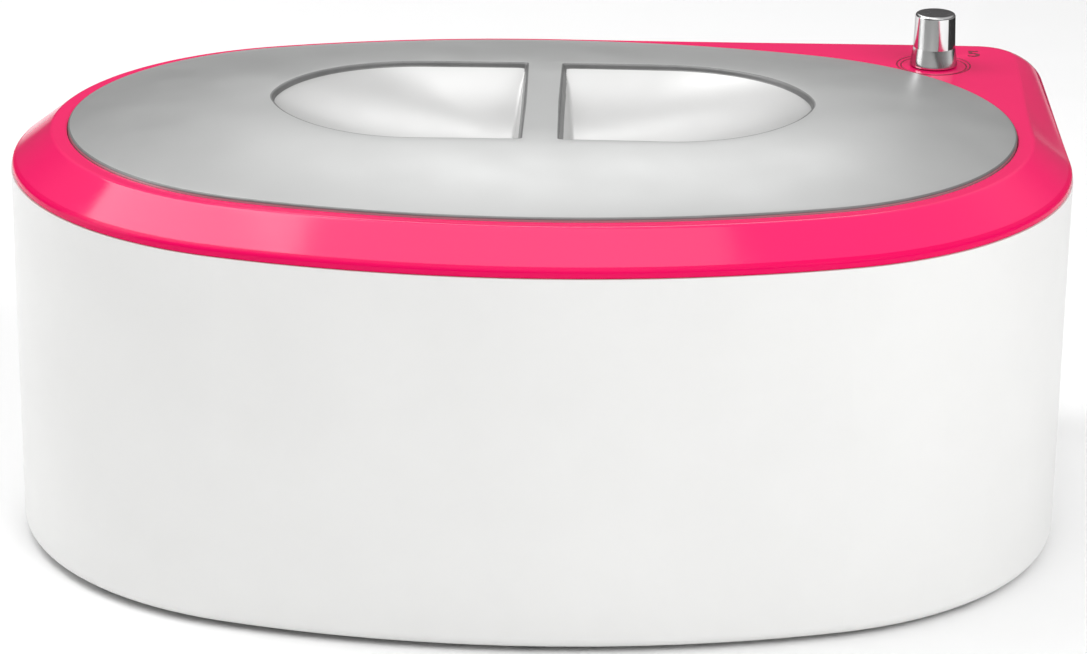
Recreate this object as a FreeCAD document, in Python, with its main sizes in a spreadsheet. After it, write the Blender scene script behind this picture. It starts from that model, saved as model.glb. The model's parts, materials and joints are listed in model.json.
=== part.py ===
import FreeCAD, Part
import math
import os
import Sketcher

# Table-top wax warmer: an oval casing with one squared rear corner, a bevelled cover, a deep
# oval pot heated from below, a domed lid with two finger scoops and a thermostat knob.
# Millimetres. +X right, +Y to the rear, +Z up; the origin is on the table under the middle.

doc = FreeCAD.newDocument("wax_warmer")
dims = doc.addObject("Spreadsheet::Sheet", "Dims")

DRIVING = (
    # casing outline at its widest, and the squared rear right corner
    ("half_width", 192.5), ("half_depth", 131), ("side_radius", 119.5),
    ("corner_radius", 25.2), ("corner_lean", 1.2),
    # heights of the casing
    ("shell_bottom", 2), ("split_height", 138.2), ("deck_top", 152), ("wall", 2.8),
    ("draft_angle", 0.6), ("bottom_round", 4),
    # cover: band, bevel and lid seat
    ("overlap", 0.6), ("deck_inset", 0.4), ("deck_wall", 2.6), ("bevel_run", 14.3),
    ("bevel_drop", 11.1), ("crest_flat", 5.7), ("crest_round", 1.2),
    ("seat_depth", 3), ("seat_width", 8), ("seat_drop", 2.8), ("seat_lap", 3),
    ("lip_depth", 4), ("lip_rise", 2.3), ("lip_inset", 3.1), ("lip_wall", 1.9), ("lip_root", 1.5),
    # lid
    ("lid_gap", 0.25), ("lid_wall", 2.2), ("lid_root", 1.1), ("lid_lift", 0.3), ("lid_edge", 3.9),
    ("dome_rise", 9.2), ("dome_run", 75), ("bridge_half", 6.75),
    # finger scoops: outline from the bridge to the tip, upright step, bowl and leaning bridge wall
    ("scoop_length", 91), ("scoop_half", 47.5), ("scoop_run", 38), ("scoop_tip", 25),
    ("scoop_step", 1.8), ("scoop_depth", 19), ("scoop_rise", 25), ("scoop_lean", 3.4),
    # pot and what holds it
    ("pot_inset", 8.3), ("pot_wall", 1.2), ("pot_flange", 1), ("pot_floor", 50),
    ("pot_corner", 10), ("flange_top", 145), ("gasket_height", 1.2), ("gasket_inset", 1.2),
    ("ring_reach", 8.5), ("ring_bore", 7.8), ("ring_height", 1.2), ("ring_screw_reach", 5),
    ("ring_screw_x", 45), ("ring_screw_y", 112.6),
    ("wrap_outer", 3), ("wrap_inner", 8), ("wrap_bottom", 60), ("wrap_top", 138),
    ("heater_inset", 50), ("heater_height", 2), ("pad_inset", 46), ("pad_height", 9.4),
    ("pad_gap", 0.2), ("shield_inset", 42), ("shield_height", 1),
    ("stud_x", 100), ("stud_y", 28), ("stud_radius", 2), ("stud_bottom", 27),
    ("stud_clearance", 3.2),
    # screws that close the casing
    ("screw_x", 152), ("screw_y", 79), ("screw_mid", 123.5), ("screw_corner_x", 177.3),
    ("screw_corner_y", 114.2), ("boss_radius", 6), ("base_boss_radius", 4.5),
    ("boss_bottom", 122), ("boss_top", 132), ("deck_boss_radius", 4), ("deck_boss_top", 142),
    ("hole_radius", 1.7), ("pilot_depth", 9), ("base_pilot_depth", 14),
    ("bracket_pilot", 7), ("ring_pilot", 5), ("head_radius", 3), ("head_height", 1.8),
    ("screw_radius", 1.5),
    # base plate and feet
    ("base_inset", 4.7), ("base_bottom", 3), ("base_height", 2.8), ("base_boss_height", 18),
    ("sink_radius", 3.4),
    ("foot_x", 125), ("foot_y", 75), ("foot_radius", 9), ("foot_bore", 3.6), ("foot_web", 1.4),
    ("foot_boss_radius", 4), ("foot_boss_height", 7), ("foot_round", 0.8),
    ("slot_length", 30), ("slot_width", 3), ("slot_pitch", 12), ("slot_side", 42), ("slot_count", 9),
    # thermostat and knob, about the knob's own axis
    ("knob_x", 147), ("knob_y", 88.6), ("knob_turn", -39.8), ("knob_lift", 0.5),
    ("knob_height", 20), ("knob_foot_radius", 8.9), ("knob_waist_radius", 7.95),
    ("knob_top_radius", 7.6), ("knob_foot_height", 0.5), ("knob_waist_height", 7),
    ("knob_round", 1), ("knob_bore", 6.2), ("knob_cap", 1.8), ("insert_height", 14),
    ("insert_recess", 1),
    ("shaft_radius", 3), ("shaft_flat", 1.6), ("shaft_bottom", 128.3), ("shaft_top", 166),
    ("deck_shaft_radius", 3.7),
    ("stat_length", 34), ("stat_width", 30), ("stat_height", 18), ("stat_collar", 5),
    ("stat_collar_height", 2.6), ("stat_bore_depth", 12), ("stat_bore", 3.05),
    ("stat_corner", 2), ("stat_screw_depth", 6), ("bracket_bore", 5.3),
    ("bracket_length", 52), ("bracket_width", 20), ("bracket_height", 1.2), ("bracket_top", 141.4),
    ("bracket_screw", 21), ("bracket_boss_radius", 3.5), ("stat_screw", 14),
    ("tab_side", 8), ("tab_width", 6.3), ("tab_thick", 0.8), ("tab_length", 8),
    # mains inlet in the rear wall
    ("inlet_x", 100), ("inlet_z", 32), ("inlet_face", 127.4), ("inlet_flange", 2),
    ("inlet_flange_length", 50), ("inlet_flange_height", 24), ("inlet_length", 27.4),
    ("inlet_height", 19.6), ("inlet_depth", 24), ("socket_length", 24.4), ("socket_height", 16.6),
    ("socket_depth", 16), ("socket_corner", 4), ("inlet_corner", 2), ("panel_face", 125.4),
    ("panel_inner", 121.4),
    ("panel_length", 60), ("panel_height", 32), ("panel_root", 2.2), ("recess_length", 50.8),
    ("recess_height", 24.8), ("window_length", 28), ("window_height", 20.2), ("inlet_screw", 20),
    ("pin_width", 2), ("pin_height", 4), ("pin_reach", 12), ("pin_tail", 6.6), ("pin_side", 7),
    ("pin_low", 2), ("pin_high", 2.5),
    # sensor bulb and thermal fuse, clipped under the pot
    ("clip_y", 76), ("bulb_x", 47.5), ("bulb_length", 55), ("bulb_radius", 2.5),
    ("fuse_x", -60), ("fuse_length", 12), ("fuse_radius", 2), ("under_pot", 0.1),
    ("clip_gap", 0.1), ("clip_wall", 0.8), ("clip_width", 8), ("clip_ear", 8),
    # studs, nuts, tags and screws
    ("nut_radius", 4.04), ("nut_height", 3.2), ("tag_height", 0.8), ("tag_half", 3.5),
    ("earth_tag_length", 15), ("shield_bore", 2.2), ("small_nut_radius", 3.18),
    ("small_nut_height", 2.4), ("base_screw_length", 13), ("cover_screw_length", 18.5),
    ("foot_screw_start", 0.4), ("foot_screw_length", 7.4), ("foot_head_height", 1.2),
    ("ring_screw_length", 5.6), ("bracket_screw_length", 7), ("stat_screw_length", 6),
    ("inlet_screw_length", 9),
    # leads
    ("lead_radius", 1), ("capillary_radius", 0.75), ("capillary_side", 10),
    ("heater_tab_x", 84), ("heater_tab_y", 48.4),
)

for row, (alias, value) in enumerate(DRIVING, start=1):
    dims.set("A%d" % row, alias)
    dims.set("B%d" % row, str(value))
    dims.setAlias("B%d" % row, alias)
doc.recompute()


# ---------------------------------------------------------------- reading and binding the sheet

def size(alias):
    """The value of one cell of the sheet."""
    return float(dims.get(alias))


def amount(terms):
    """The sum of some cells; a name that starts with a minus is taken away."""
    total = 0.0
    for term in terms:
        total += -size(term[1:]) if term.startswith("-") else size(term)
    return total


def formula(terms):
    """The expression that gives the same sum as amount()."""
    text = ""
    for term in terms:
        text += " - Dims." + term[1:] if term.startswith("-") else " + Dims." + term
    return text[3:] if text.startswith(" + ") else "0" + text


def negative(terms):
    """The same cells, taken away."""
    return tuple(term[1:] if term.startswith("-") else "-" + term for term in terms)


DECK_UNDER = ("deck_top", "-deck_wall")
SEAT_UNDER = ("deck_top", "-seat_depth", "-seat_drop")
LID_BOTTOM = ("deck_top", "-seat_depth", "lid_lift")
LID_EDGE_TOP = LID_BOTTOM + ("lid_edge",)
LID_TOP = LID_EDGE_TOP + ("dome_rise",)
RIM = ("deck_inset", "bevel_run", "crest_flat")
LID_RIM = RIM + ("lid_gap",)
RING_TOP = ("flange_top", "-pot_wall")
HEATER_BOTTOM = ("pot_floor", "-pot_wall", "-heater_height")
PAD_BOTTOM = HEATER_BOTTOM + ("-pad_gap", "-pad_height")
SHIELD_BOTTOM = PAD_BOTTOM + ("-pad_gap", "-shield_height")
SCOOPS = (("right_scoop", 1), ("left_scoop", -1))
BOWL_SHARES = (1, 0.9, 0.75, 0.55, 0.3, 0.12)
FRONT_RADIUS = ("(Dims.half_width^2 + Dims.half_depth^2 - 2*Dims.half_width*Dims.side_radius)"
                " / (2*(Dims.half_depth - Dims.side_radius))")


def front_radius():
    """Radius of the long front and rear arcs, which touch the side arcs."""
    width, depth, side = size("half_width"), size("half_depth"), size("side_radius")
    return (width**2 + depth**2 - 2 * width * side) / (2 * (depth - side))


def side_centre():
    """Distance of each side arc's centre from the middle."""
    return size("half_width") - size("side_radius")


def side_angle():
    """Angle at which a side arc passes over into the front or rear arc, in radians."""
    return math.atan2(front_radius() - size("half_depth"), side_centre())


# ---------------------------------------------------------------- bodies, sketches and features

def new_body(name):
    body = doc.addObject("PartDesign::Body", name)
    body.Label = name
    return body


def origin_plane(body, role):
    for feature in body.Origin.OriginFeatures:
        if feature.Role == role:
            return feature
    raise RuntimeError("no plane " + role)


def new_sketch(body, name, height=(), role="XY_Plane"):
    """An empty sketch on one of the body's origin planes, moved out along its normal.

    The height is a sum of cells, or an expression of its own.
    """
    sketch = body.newObject("Sketcher::SketchObject", body.Name + "_" + name)
    sketch.AttachmentSupport = (origin_plane(body, role), [""])
    sketch.MapMode = "FlatFace"
    if height:
        expression = height if isinstance(height, str) else formula(height)
        sketch.setExpression("AttachmentOffset.Base.z", expression)
    return sketch


def bind(sketch, constraint, name, expression):
    """Add a constraint that takes its value from the sheet."""
    index = sketch.addConstraint(constraint)
    sketch.renameConstraint(index, name)
    sketch.setExpression("Constraints." + name, expression)


def arc(centre_x, centre_y, radius, start, end):
    circle = Part.Circle(FreeCAD.Vector(centre_x, centre_y, 0), FreeCAD.Vector(0, 0, 1), radius)
    return Part.ArcOfCircle(circle, start, end)


def join_tangent(sketch, ids):
    for first, second in zip(ids, ids[1:] + ids[:1]):
        sketch.addConstraint(Sketcher.Constraint("Tangent", first, 2, second, 1))


def place_side_arcs(sketch, right, left, tag, inset):
    """Hold both side arcs: centres on the X axis, radii from the sheet less the inset."""
    centre = formula(("half_width", "-side_radius"))
    radius = formula(("side_radius",)) + " - (" + formula(inset) + ")"
    centre_x = side_centre()
    value = size("side_radius") - amount(inset)
    sketch.addConstraint(Sketcher.Constraint("PointOnObject", right, 3, -1))
    sketch.addConstraint(Sketcher.Constraint("PointOnObject", left, 3, -1))
    bind(sketch, Sketcher.Constraint("DistanceX", -1, 1, right, 3, centre_x), tag + "right", centre)
    bind(sketch, Sketcher.Constraint("DistanceX", left, 3, -1, 1, centre_x), tag + "left", centre)
    bind(sketch, Sketcher.Constraint("Radius", right, value), tag + "right_radius", radius)
    bind(sketch, Sketcher.Constraint("Radius", left, value), tag + "left_radius", radius)


def draw_oval(sketch, inset, tag="oval_"):
    """Plain oval of four tangent arcs, a constant distance inside the casing outline."""
    side = size("side_radius") - amount(inset)
    front = front_radius() - amount(inset)
    reach = size("half_depth") - front_radius()
    turn = side_angle()
    ids = [sketch.addGeometry(arc(side_centre(), 0, side, -turn, turn)),
           sketch.addGeometry(arc(0, reach, front, turn, math.pi - turn)),
           sketch.addGeometry(arc(-side_centre(), 0, side, math.pi - turn, math.pi + turn)),
           sketch.addGeometry(arc(0, -reach, front, math.pi + turn, 2 * math.pi - turn))]
    join_tangent(sketch, ids)
    place_side_arcs(sketch, ids[0], ids[2], tag, inset)
    expression = FRONT_RADIUS + " - (" + formula(inset) + ")"
    bind(sketch, Sketcher.Constraint("Radius", ids[1], front), tag + "rear_radius", expression)
    bind(sketch, Sketcher.Constraint("Radius", ids[3], front), tag + "front_radius", expression)


def draw_casing(sketch, inset=(), tag="casing_"):
    """Casing outline: the oval, but squared at the rear right by two straight runs and an arc."""
    shrink = amount(inset)
    side = size("side_radius") - shrink
    front = front_radius() - shrink
    corner = size("corner_radius") - shrink
    reach = size("half_depth") - front_radius()
    turn = side_angle()
    lean = math.radians(size("corner_lean"))
    # both straight runs leave their arc at the lean angle and end on the corner arc
    rear_normal = FreeCAD.Vector(math.sin(lean), math.cos(lean), 0)
    side_normal = FreeCAD.Vector(math.cos(lean), math.sin(lean), 0)
    rear_distance = reach * math.cos(lean) + front - corner
    side_distance = side_centre() * math.cos(lean) + side - corner
    cross = rear_normal.x * side_normal.y - rear_normal.y * side_normal.x
    centre = FreeCAD.Vector(
        (rear_distance * side_normal.y - side_distance * rear_normal.y) / cross,
        (side_distance * rear_normal.x - rear_distance * side_normal.x) / cross, 0)
    rear_start = FreeCAD.Vector(0, reach, 0) + rear_normal * front
    side_end = FreeCAD.Vector(side_centre(), 0, 0) + side_normal * side
    run_side = Part.LineSegment(side_end, centre + side_normal * corner)
    run_rear = Part.LineSegment(centre + rear_normal * corner, rear_start)
    ids = [sketch.addGeometry(arc(side_centre(), 0, side, -turn, lean)),
           sketch.addGeometry(run_side),
           sketch.addGeometry(arc(centre.x, centre.y, corner, lean, math.pi / 2 - lean)),
           sketch.addGeometry(run_rear),
           sketch.addGeometry(arc(0, reach, front, math.pi / 2 - lean, math.pi - turn)),
           sketch.addGeometry(arc(-side_centre(), 0, side, math.pi - turn, math.pi + turn)),
           sketch.addGeometry(arc(0, -reach, front, math.pi + turn, 2 * math.pi - turn))]
    join_tangent(sketch, ids)
    place_side_arcs(sketch, ids[0], ids[5], tag, inset)
    less = " - (" + formula(inset) + ")" if inset else ""
    bind(sketch, Sketcher.Constraint("Radius", ids[4], front), tag + "rear_radius",
         FRONT_RADIUS + less)
    bind(sketch, Sketcher.Constraint("Radius", ids[6], front), tag + "front_radius",
         FRONT_RADIUS + less)
    bind(sketch, Sketcher.Constraint("Radius", ids[2], corner), tag + "corner_radius",
         formula(("corner_radius",)) + less)
    bind(sketch, Sketcher.Constraint("Angle", ids[1], math.pi / 2 + lean), tag + "side_lean",
         "90deg + Dims.corner_lean * 1deg")
    bind(sketch, Sketcher.Constraint("Angle", ids[3], math.pi - lean), tag + "rear_lean",
         "180deg - Dims.corner_lean * 1deg")


def draw_circles(sketch, points, radius):
    """Circles of one radius at the given points."""
    value = size(radius)
    for number, (x, y) in enumerate(points, start=1):
        circle = Part.Circle(FreeCAD.Vector(x, y, 0), FreeCAD.Vector(0, 0, 1), value)
        index = sketch.addGeometry(circle)
        bind(sketch, Sketcher.Constraint("Radius", index, value), "radius%d" % number,
             formula([radius]))
        sketch.addConstraint(Sketcher.Constraint("DistanceX", -1, 1, index, 3, x))
        sketch.addConstraint(Sketcher.Constraint("DistanceY", -1, 1, index, 3, y))


def draw_chain(sketch, corners):
    """Closed chain of straight lines."""
    ids = [sketch.addGeometry(Part.LineSegment(FreeCAD.Vector(*start, 0), FreeCAD.Vector(*end, 0)))
           for start, end in zip(corners, corners[1:] + corners[:1])]
    for first, second in zip(ids, ids[1:] + ids[:1]):
        sketch.addConstraint(Sketcher.Constraint("Coincident", first, 2, second, 1))
    return ids


def draw_rectangle(sketch, centre, length, height):
    """Rectangle about a point; its two sides are cell names."""
    wide, tall = size(length), size(height)
    left, low = centre[0] - wide / 2, centre[1] - tall / 2
    corners = ((left, low), (left + wide, low), (left + wide, low + tall), (left, low + tall))
    ids = draw_chain(sketch, corners)
    for index, kind in zip(ids, ("Horizontal", "Vertical", "Horizontal", "Vertical")):
        sketch.addConstraint(Sketcher.Constraint(kind, index))
    sketch.addConstraint(Sketcher.Constraint("DistanceX", -1, 1, ids[0], 1, left))
    sketch.addConstraint(Sketcher.Constraint("DistanceY", -1, 1, ids[0], 1, low))
    bind(sketch, Sketcher.Constraint("DistanceX", ids[0], 1, ids[0], 2, wide), "length",
         formula([length]))
    bind(sketch, Sketcher.Constraint("DistanceY", ids[1], 1, ids[1], 2, tall), "height",
         formula([height]))


def pad(body, sketch, name, length, downwards=False, taper=None):
    feature = body.newObject("PartDesign::Pad", body.Name + "_" + name)
    feature.Profile = sketch
    feature.Reversed = downwards
    feature.setExpression("Length", formula(length))
    if taper:
        feature.setExpression("TaperAngle", taper)
    doc.recompute()
    return feature


def pocket(body, sketch, name, length, downwards=True, taper=None):
    """Cut a profile out, downwards from its sketch unless told otherwise."""
    before = body.Shape.Volume
    feature = body.newObject("PartDesign::Pocket", body.Name + "_" + name)
    feature.Profile = sketch
    feature.Reversed = not downwards
    feature.setExpression("Length", formula(length))
    if taper:
        feature.setExpression("TaperAngle", taper)
    doc.recompute()
    if body.Shape.Volume >= before:
        raise RuntimeError(feature.Name + " cuts nothing")
    return feature


def edges_where(shape, test):
    """Names of the edges that pass a test on their bounding box and themselves."""
    return ["Edge%d" % number for number, edge in enumerate(shape.Edges, start=1)
            if test(edge)]


def at_height(height, tolerance=0.01):
    """Test for an edge that lies flat at one height."""
    def test(edge):
        box = edge.BoundBox
        return abs(box.ZMin - height) < tolerance and abs(box.ZMax - height) < tolerance
    return test


def round_edges(body, name, test, radius):
    base = body.Tip
    feature = body.newObject("PartDesign::Fillet", body.Name + "_" + name)
    feature.Base = (base, edges_where(base.Shape, test))
    feature.setExpression("Radius", formula([radius]))
    doc.recompute()
    return feature


# ---------------------------------------------------------------- plain solids and groups

def solid(kind, name, position, turn=0.0, tilt=(0, 0, 1), **sizes):
    """One Part primitive at a place, turned by an angle about an axis; sizes are expressions."""
    feature = doc.addObject("Part::" + kind, name)
    for key, expression in sizes.items():
        feature.setExpression(key, expression)
    rotation = FreeCAD.Rotation(FreeCAD.Vector(*tilt), turn)
    feature.Placement = FreeCAD.Placement(FreeCAD.Vector(*position), rotation)
    return feature


def fuse(name, shapes):
    feature = doc.addObject("Part::MultiFuse", name)
    feature.Shapes = shapes
    return feature


def cut(name, base, tool):
    feature = doc.addObject("Part::Cut", name)
    feature.Base = base
    feature.Tool = tool
    return feature


def group(name, shapes):
    """Separate solids that share one node."""
    feature = doc.addObject("Part::Compound", name)
    feature.Links = shapes
    feature.Label = name
    return feature


def screw(name, position, length, upwards=(0, 0, 1), head=("head_radius", "head_height"),
          radius="screw_radius", slot=False):
    """Pan head screw: its head starts at the position and its shank runs along the direction."""
    turn = FreeCAD.Rotation(FreeCAD.Vector(0, 0, 1), FreeCAD.Vector(*upwards))
    start = FreeCAD.Vector(*position)
    head_radius, head_height = formula([head[0]]), formula([head[1]])
    cap = doc.addObject("Part::Cone", name + "_head")
    cap.setExpression("Radius1", head_radius + " * 0.8")
    cap.setExpression("Radius2", head_radius)
    cap.setExpression("Height", head_height)
    cap.Placement = FreeCAD.Placement(start, turn)
    shank = doc.addObject("Part::Cylinder", name + "_shank")
    shank.setExpression("Radius", formula([radius]))
    shank.Height = length + size(head[1])
    shank.Placement = FreeCAD.Placement(start, turn)
    whole = fuse(name, [cap, shank])
    if not slot:
        return whole
    arm, deep = 1.5 * size(head[0]), 0.5 * size(head[1])
    blades = []
    for number, (long, wide) in enumerate(((arm, 0.8), (0.8, arm))):
        blade = doc.addObject("Part::Box", "%s_cross%d" % (name, number))
        blade.Length = long
        blade.Width = wide
        blade.Height = 2 * deep
        corner = turn.multVec(FreeCAD.Vector(-long / 2, -wide / 2, -deep))
        blade.Placement = FreeCAD.Placement(start + corner, turn)
        blades.append(blade)
    return cut(name + "_crossed", whole, fuse(name + "_cross", blades))


# ---------------------------------------------------------------- places of repeated pieces

def both_sides(x, y):
    return [(-x, y), (x, y)]


def oval_point(degrees, inset):
    """Point on a side arc's circle, at an angle about its centre, at an inset from the casing."""
    radius = size("side_radius") - amount(inset)
    x = radius * math.cos(math.radians(degrees))
    centre = side_centre() if x >= 0 else -side_centre()
    return (centre + x, radius * math.sin(math.radians(degrees)))


def knob_local(along, across):
    """Point beside the knob's axis: along the rim of the lid, and across it to the outside."""
    turn = math.radians(size("knob_turn"))
    x = size("knob_x") + along * math.cos(turn) - across * math.sin(turn)
    y = size("knob_y") + along * math.sin(turn) + across * math.cos(turn)
    return (x, y)


CASING_SCREWS = (both_sides(size("screw_x"), -size("screw_y"))
                 + [(-size("screw_x"), size("screw_y")),
                    (size("screw_corner_x"), size("screw_corner_y")),
                    (0, size("screw_mid")), (0, -size("screw_mid"))])
RING_REACH = RIM + ("-ring_screw_reach",)
RING_SCREWS = ([oval_point(angle, RING_REACH) for angle in (-50, 0, 28, 130, 180, 230)]
               + both_sides(size("ring_screw_x"), -size("ring_screw_y"))
               + both_sides(size("ring_screw_x"), size("ring_screw_y")))
BRACKET_SCREWS = [knob_local(side * size("bracket_screw"), 0) for side in (-1, 1)]
STAT_SCREWS = [knob_local(side * size("stat_screw"), 0) for side in (-1, 1)]
KNOB_AXIS = [knob_local(0, 0)]
INLET_SCREWS = [(size("inlet_x") + side * size("inlet_screw"), size("inlet_z"))
                for side in (-1, 1)]
FEET = both_sides(size("foot_x"), -size("foot_y")) + both_sides(size("foot_x"), size("foot_y"))
STUDS = both_sides(size("stud_x"), -size("stud_y")) + both_sides(size("stud_x"), size("stud_y"))


def outside_oval(point, inset):
    """How far a point lies outside the oval at an inset; negative inside it."""
    x, y = abs(point.x), abs(point.y)
    if math.atan2(y, x - side_centre()) < side_angle():
        return math.hypot(x - side_centre(), y) - (size("side_radius") - amount(inset))
    reach = front_radius() - size("half_depth")
    return math.hypot(x, y + reach) - (front_radius() - amount(inset))


def middle(edge):
    return edge.valueAt((edge.FirstParameter + edge.LastParameter) / 2)


# ---------------------------------------------------------------- casing

def make_body_shell():
    """Outer wall with a slight draft, screw bosses and the thick panel for the mains inlet."""
    body = new_body("body_shell")
    full = ("split_height", "-shell_bottom")
    outline = new_sketch(body, "outline", ("split_height",))
    draw_casing(outline)
    pad(body, outline, "block", full, downwards=True, taper="-Dims.draft_angle")
    round_edges(body, "bottom_round", at_height(size("shell_bottom")), "bottom_round")
    cavity = new_sketch(body, "cavity", ("split_height",))
    draw_casing(cavity, ("wall",))
    pocket(body, cavity, "hollow", full, taper="-Dims.draft_angle")
    low = new_sketch(body, "base_bosses", ("base_bottom", "base_height"))
    draw_circles(low, CASING_SCREWS, "base_boss_radius")
    pad(body, low, "base_boss", ("base_boss_height",))
    high = new_sketch(body, "cover_bosses", ("boss_bottom",))
    draw_circles(high, CASING_SCREWS, "boss_radius")
    pad(body, high, "cover_boss", ("boss_top", "-boss_bottom"))
    pilots = new_sketch(body, "base_pilots", ("base_bottom", "base_height"))
    draw_circles(pilots, CASING_SCREWS, "screw_radius")
    pocket(body, pilots, "base_pilot", ("base_pilot_depth",), downwards=False)
    holes = new_sketch(body, "cover_holes", ("boss_top",))
    draw_circles(holes, CASING_SCREWS, "hole_radius")
    pocket(body, holes, "cover_hole", ("boss_top", "-boss_bottom"))
    # the upright sketches look to the front, so a negative height puts them at the rear
    inlet = (size("inlet_x"), size("inlet_z"))
    panel = new_sketch(body, "panel", ("-panel_inner",), "XZ_Plane")
    draw_rectangle(panel, inlet, "panel_length", "panel_height")
    pad(body, panel, "inlet_panel", ("panel_face", "-panel_inner", "panel_root"), downwards=True)
    recess = new_sketch(body, "recess", ("-panel_face",), "XZ_Plane")
    draw_rectangle(recess, inlet, "recess_length", "recess_height")
    pocket(body, recess, "inlet_recess", ("half_depth", "-panel_face"))
    window = new_sketch(body, "window", ("-panel_inner",), "XZ_Plane")
    draw_rectangle(window, inlet, "window_length", "window_height")
    pocket(body, window, "inlet_window", ("half_depth", "-panel_inner"))
    holes = new_sketch(body, "inlet_holes", ("-panel_inner",), "XZ_Plane")
    draw_circles(holes, INLET_SCREWS, "hole_radius")
    pocket(body, holes, "inlet_hole", ("half_depth", "-panel_inner"))
    return body


def make_deck_cover():
    """Bevelled top cover with the lid's recessed seat, the pot opening and its own bosses."""
    body = new_body("deck_cover")
    outline = new_sketch(body, "outline", ("split_height",))
    draw_casing(outline, ("deck_inset",))
    pad(body, outline, "block", ("deck_top", "-split_height"))
    base = body.Tip
    bevel = body.newObject("PartDesign::Chamfer", "deck_cover_bevel")
    bevel.Base = (base, edges_where(base.Shape, at_height(size("deck_top"))))
    bevel.ChamferType = "Two distances"
    bevel.setExpression("Size", "Dims.bevel_run")
    bevel.setExpression("Size2", "Dims.bevel_drop")
    bevel.FlipDirection = True
    doc.recompute()
    hollow = body.newObject("PartDesign::Thickness", "deck_cover_hollow")
    under = ["Face%d" % number for number, face in enumerate(bevel.Shape.Faces, start=1)
             if face.BoundBox.ZMax < size("split_height") + 0.01]
    hollow.Base = (bevel, under)
    hollow.setExpression("Value", "Dims.deck_wall")
    hollow.Reversed = True
    hollow.Join = "Intersection"
    doc.recompute()
    # ring under the crest that carries the seat
    seat = new_sketch(body, "seat", SEAT_UNDER)
    draw_oval(seat, RIM + ("-seat_lap",))
    pad(body, seat, "seat_ring", ("seat_depth", "seat_drop", "-deck_wall", "overlap"))
    # lip that drops inside the shell, and its root behind the band
    root = new_sketch(body, "lip_root", ("split_height",))
    draw_casing(root, ("lip_root",))
    draw_casing(root, ("lip_inset", "lip_wall"), "inner_")
    pad(body, root, "lip_root_ring", ("lip_rise",))
    lip = new_sketch(body, "lip", ("split_height", "-lip_depth"))
    draw_casing(lip, ("lip_inset",))
    draw_casing(lip, ("lip_inset", "lip_wall"), "inner_")
    pad(body, lip, "lip_ring", ("lip_depth", "overlap"))
    for name, points, radius, foot, length in (
            ("casing", CASING_SCREWS, "deck_boss_radius", ("boss_top",),
             ("deck_boss_top", "-boss_top")),
            ("bracket", BRACKET_SCREWS, "bracket_boss_radius", ("bracket_top",),
             DECK_UNDER + ("-bracket_top", "overlap")),
            ("ring", RING_SCREWS, "bracket_boss_radius", RING_TOP,
             DECK_UNDER + negative(RING_TOP))):
        sketch = new_sketch(body, name + "_bosses", foot)
        draw_circles(sketch, points, radius)
        pad(body, sketch, name + "_boss", length)
    recess = new_sketch(body, "recess", ("deck_top",))
    draw_oval(recess, RIM)
    pocket(body, recess, "lid_recess", ("seat_depth",))
    opening = new_sketch(body, "opening", ("deck_top",))
    draw_oval(opening, RIM + ("seat_width",))
    pocket(body, opening, "pot_opening", ("deck_top", "-split_height"))
    shaft = new_sketch(body, "shaft", ("deck_top",))
    draw_circles(shaft, KNOB_AXIS, "deck_shaft_radius")
    pocket(body, shaft, "shaft_hole", ("deck_top", "-split_height"))
    for name, points, foot, depth in (
            ("casing", CASING_SCREWS, ("boss_top",), "pilot_depth"),
            ("bracket", BRACKET_SCREWS, ("bracket_top",), "bracket_pilot"),
            ("ring", RING_SCREWS, RING_TOP, "ring_pilot")):
        sketch = new_sketch(body, name + "_pilots", foot)
        draw_circles(sketch, points, "screw_radius")
        pocket(body, sketch, name + "_pilot", (depth,), downwards=False)

    def on_crest(edge):
        return (at_height(size("deck_top"))(edge) and outside_oval(middle(edge), RIM) > 1
                and edge.Length > 30)

    round_edges(body, "crest_round", on_crest, "crest_round")
    return body


def make_base_plate():
    """Screwed-in floor with counterbored screw holes, foot bosses and rows of vents."""
    body = new_body("base_plate")
    outline = new_sketch(body, "outline", ("base_bottom",))
    draw_casing(outline, ("base_inset",))
    pad(body, outline, "plate", ("base_height",))
    bosses = new_sketch(body, "foot_bosses", ("base_bottom", "base_height"))
    draw_circles(bosses, FEET, "foot_boss_radius")
    pad(body, bosses, "foot_boss", ("foot_boss_height",))
    sunk = new_sketch(body, "sunk", ("base_bottom",))
    draw_circles(sunk, CASING_SCREWS, "sink_radius")
    pocket(body, sunk, "counterbore", ("head_height",), downwards=False)
    holes = new_sketch(body, "holes", ("base_bottom",))
    draw_circles(holes, CASING_SCREWS, "hole_radius")
    pocket(body, holes, "screw_hole", ("base_height",), downwards=False)
    pilots = new_sketch(body, "pilots", ("base_bottom",))
    draw_circles(pilots, FEET, "screw_radius")
    pocket(body, pilots, "foot_pilot", ("foot_boss_height",), downwards=False)
    for name, side in (("front", -1), ("rear", 1)):
        slot = new_sketch(body, name + "_slot", ("base_bottom",))
        first = (-size("slot_pitch") * (size("slot_count") - 1) / 2, side * size("slot_side"))
        draw_rectangle(slot, first, "slot_width", "slot_length")
        pocket(body, slot, name + "_vent", ("base_height",), downwards=False)
        row = body.newObject("PartDesign::LinearPattern", "base_plate_" + name + "_vents")
        row.Originals = [body.Tip]
        row.Direction = (slot, ["H_Axis"])
        row.setExpression("Length", "Dims.slot_pitch * (Dims.slot_count - 1)")
        row.setExpression("Occurrences", "Dims.slot_count")
        body.Tip = row
        doc.recompute()
    return body


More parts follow.
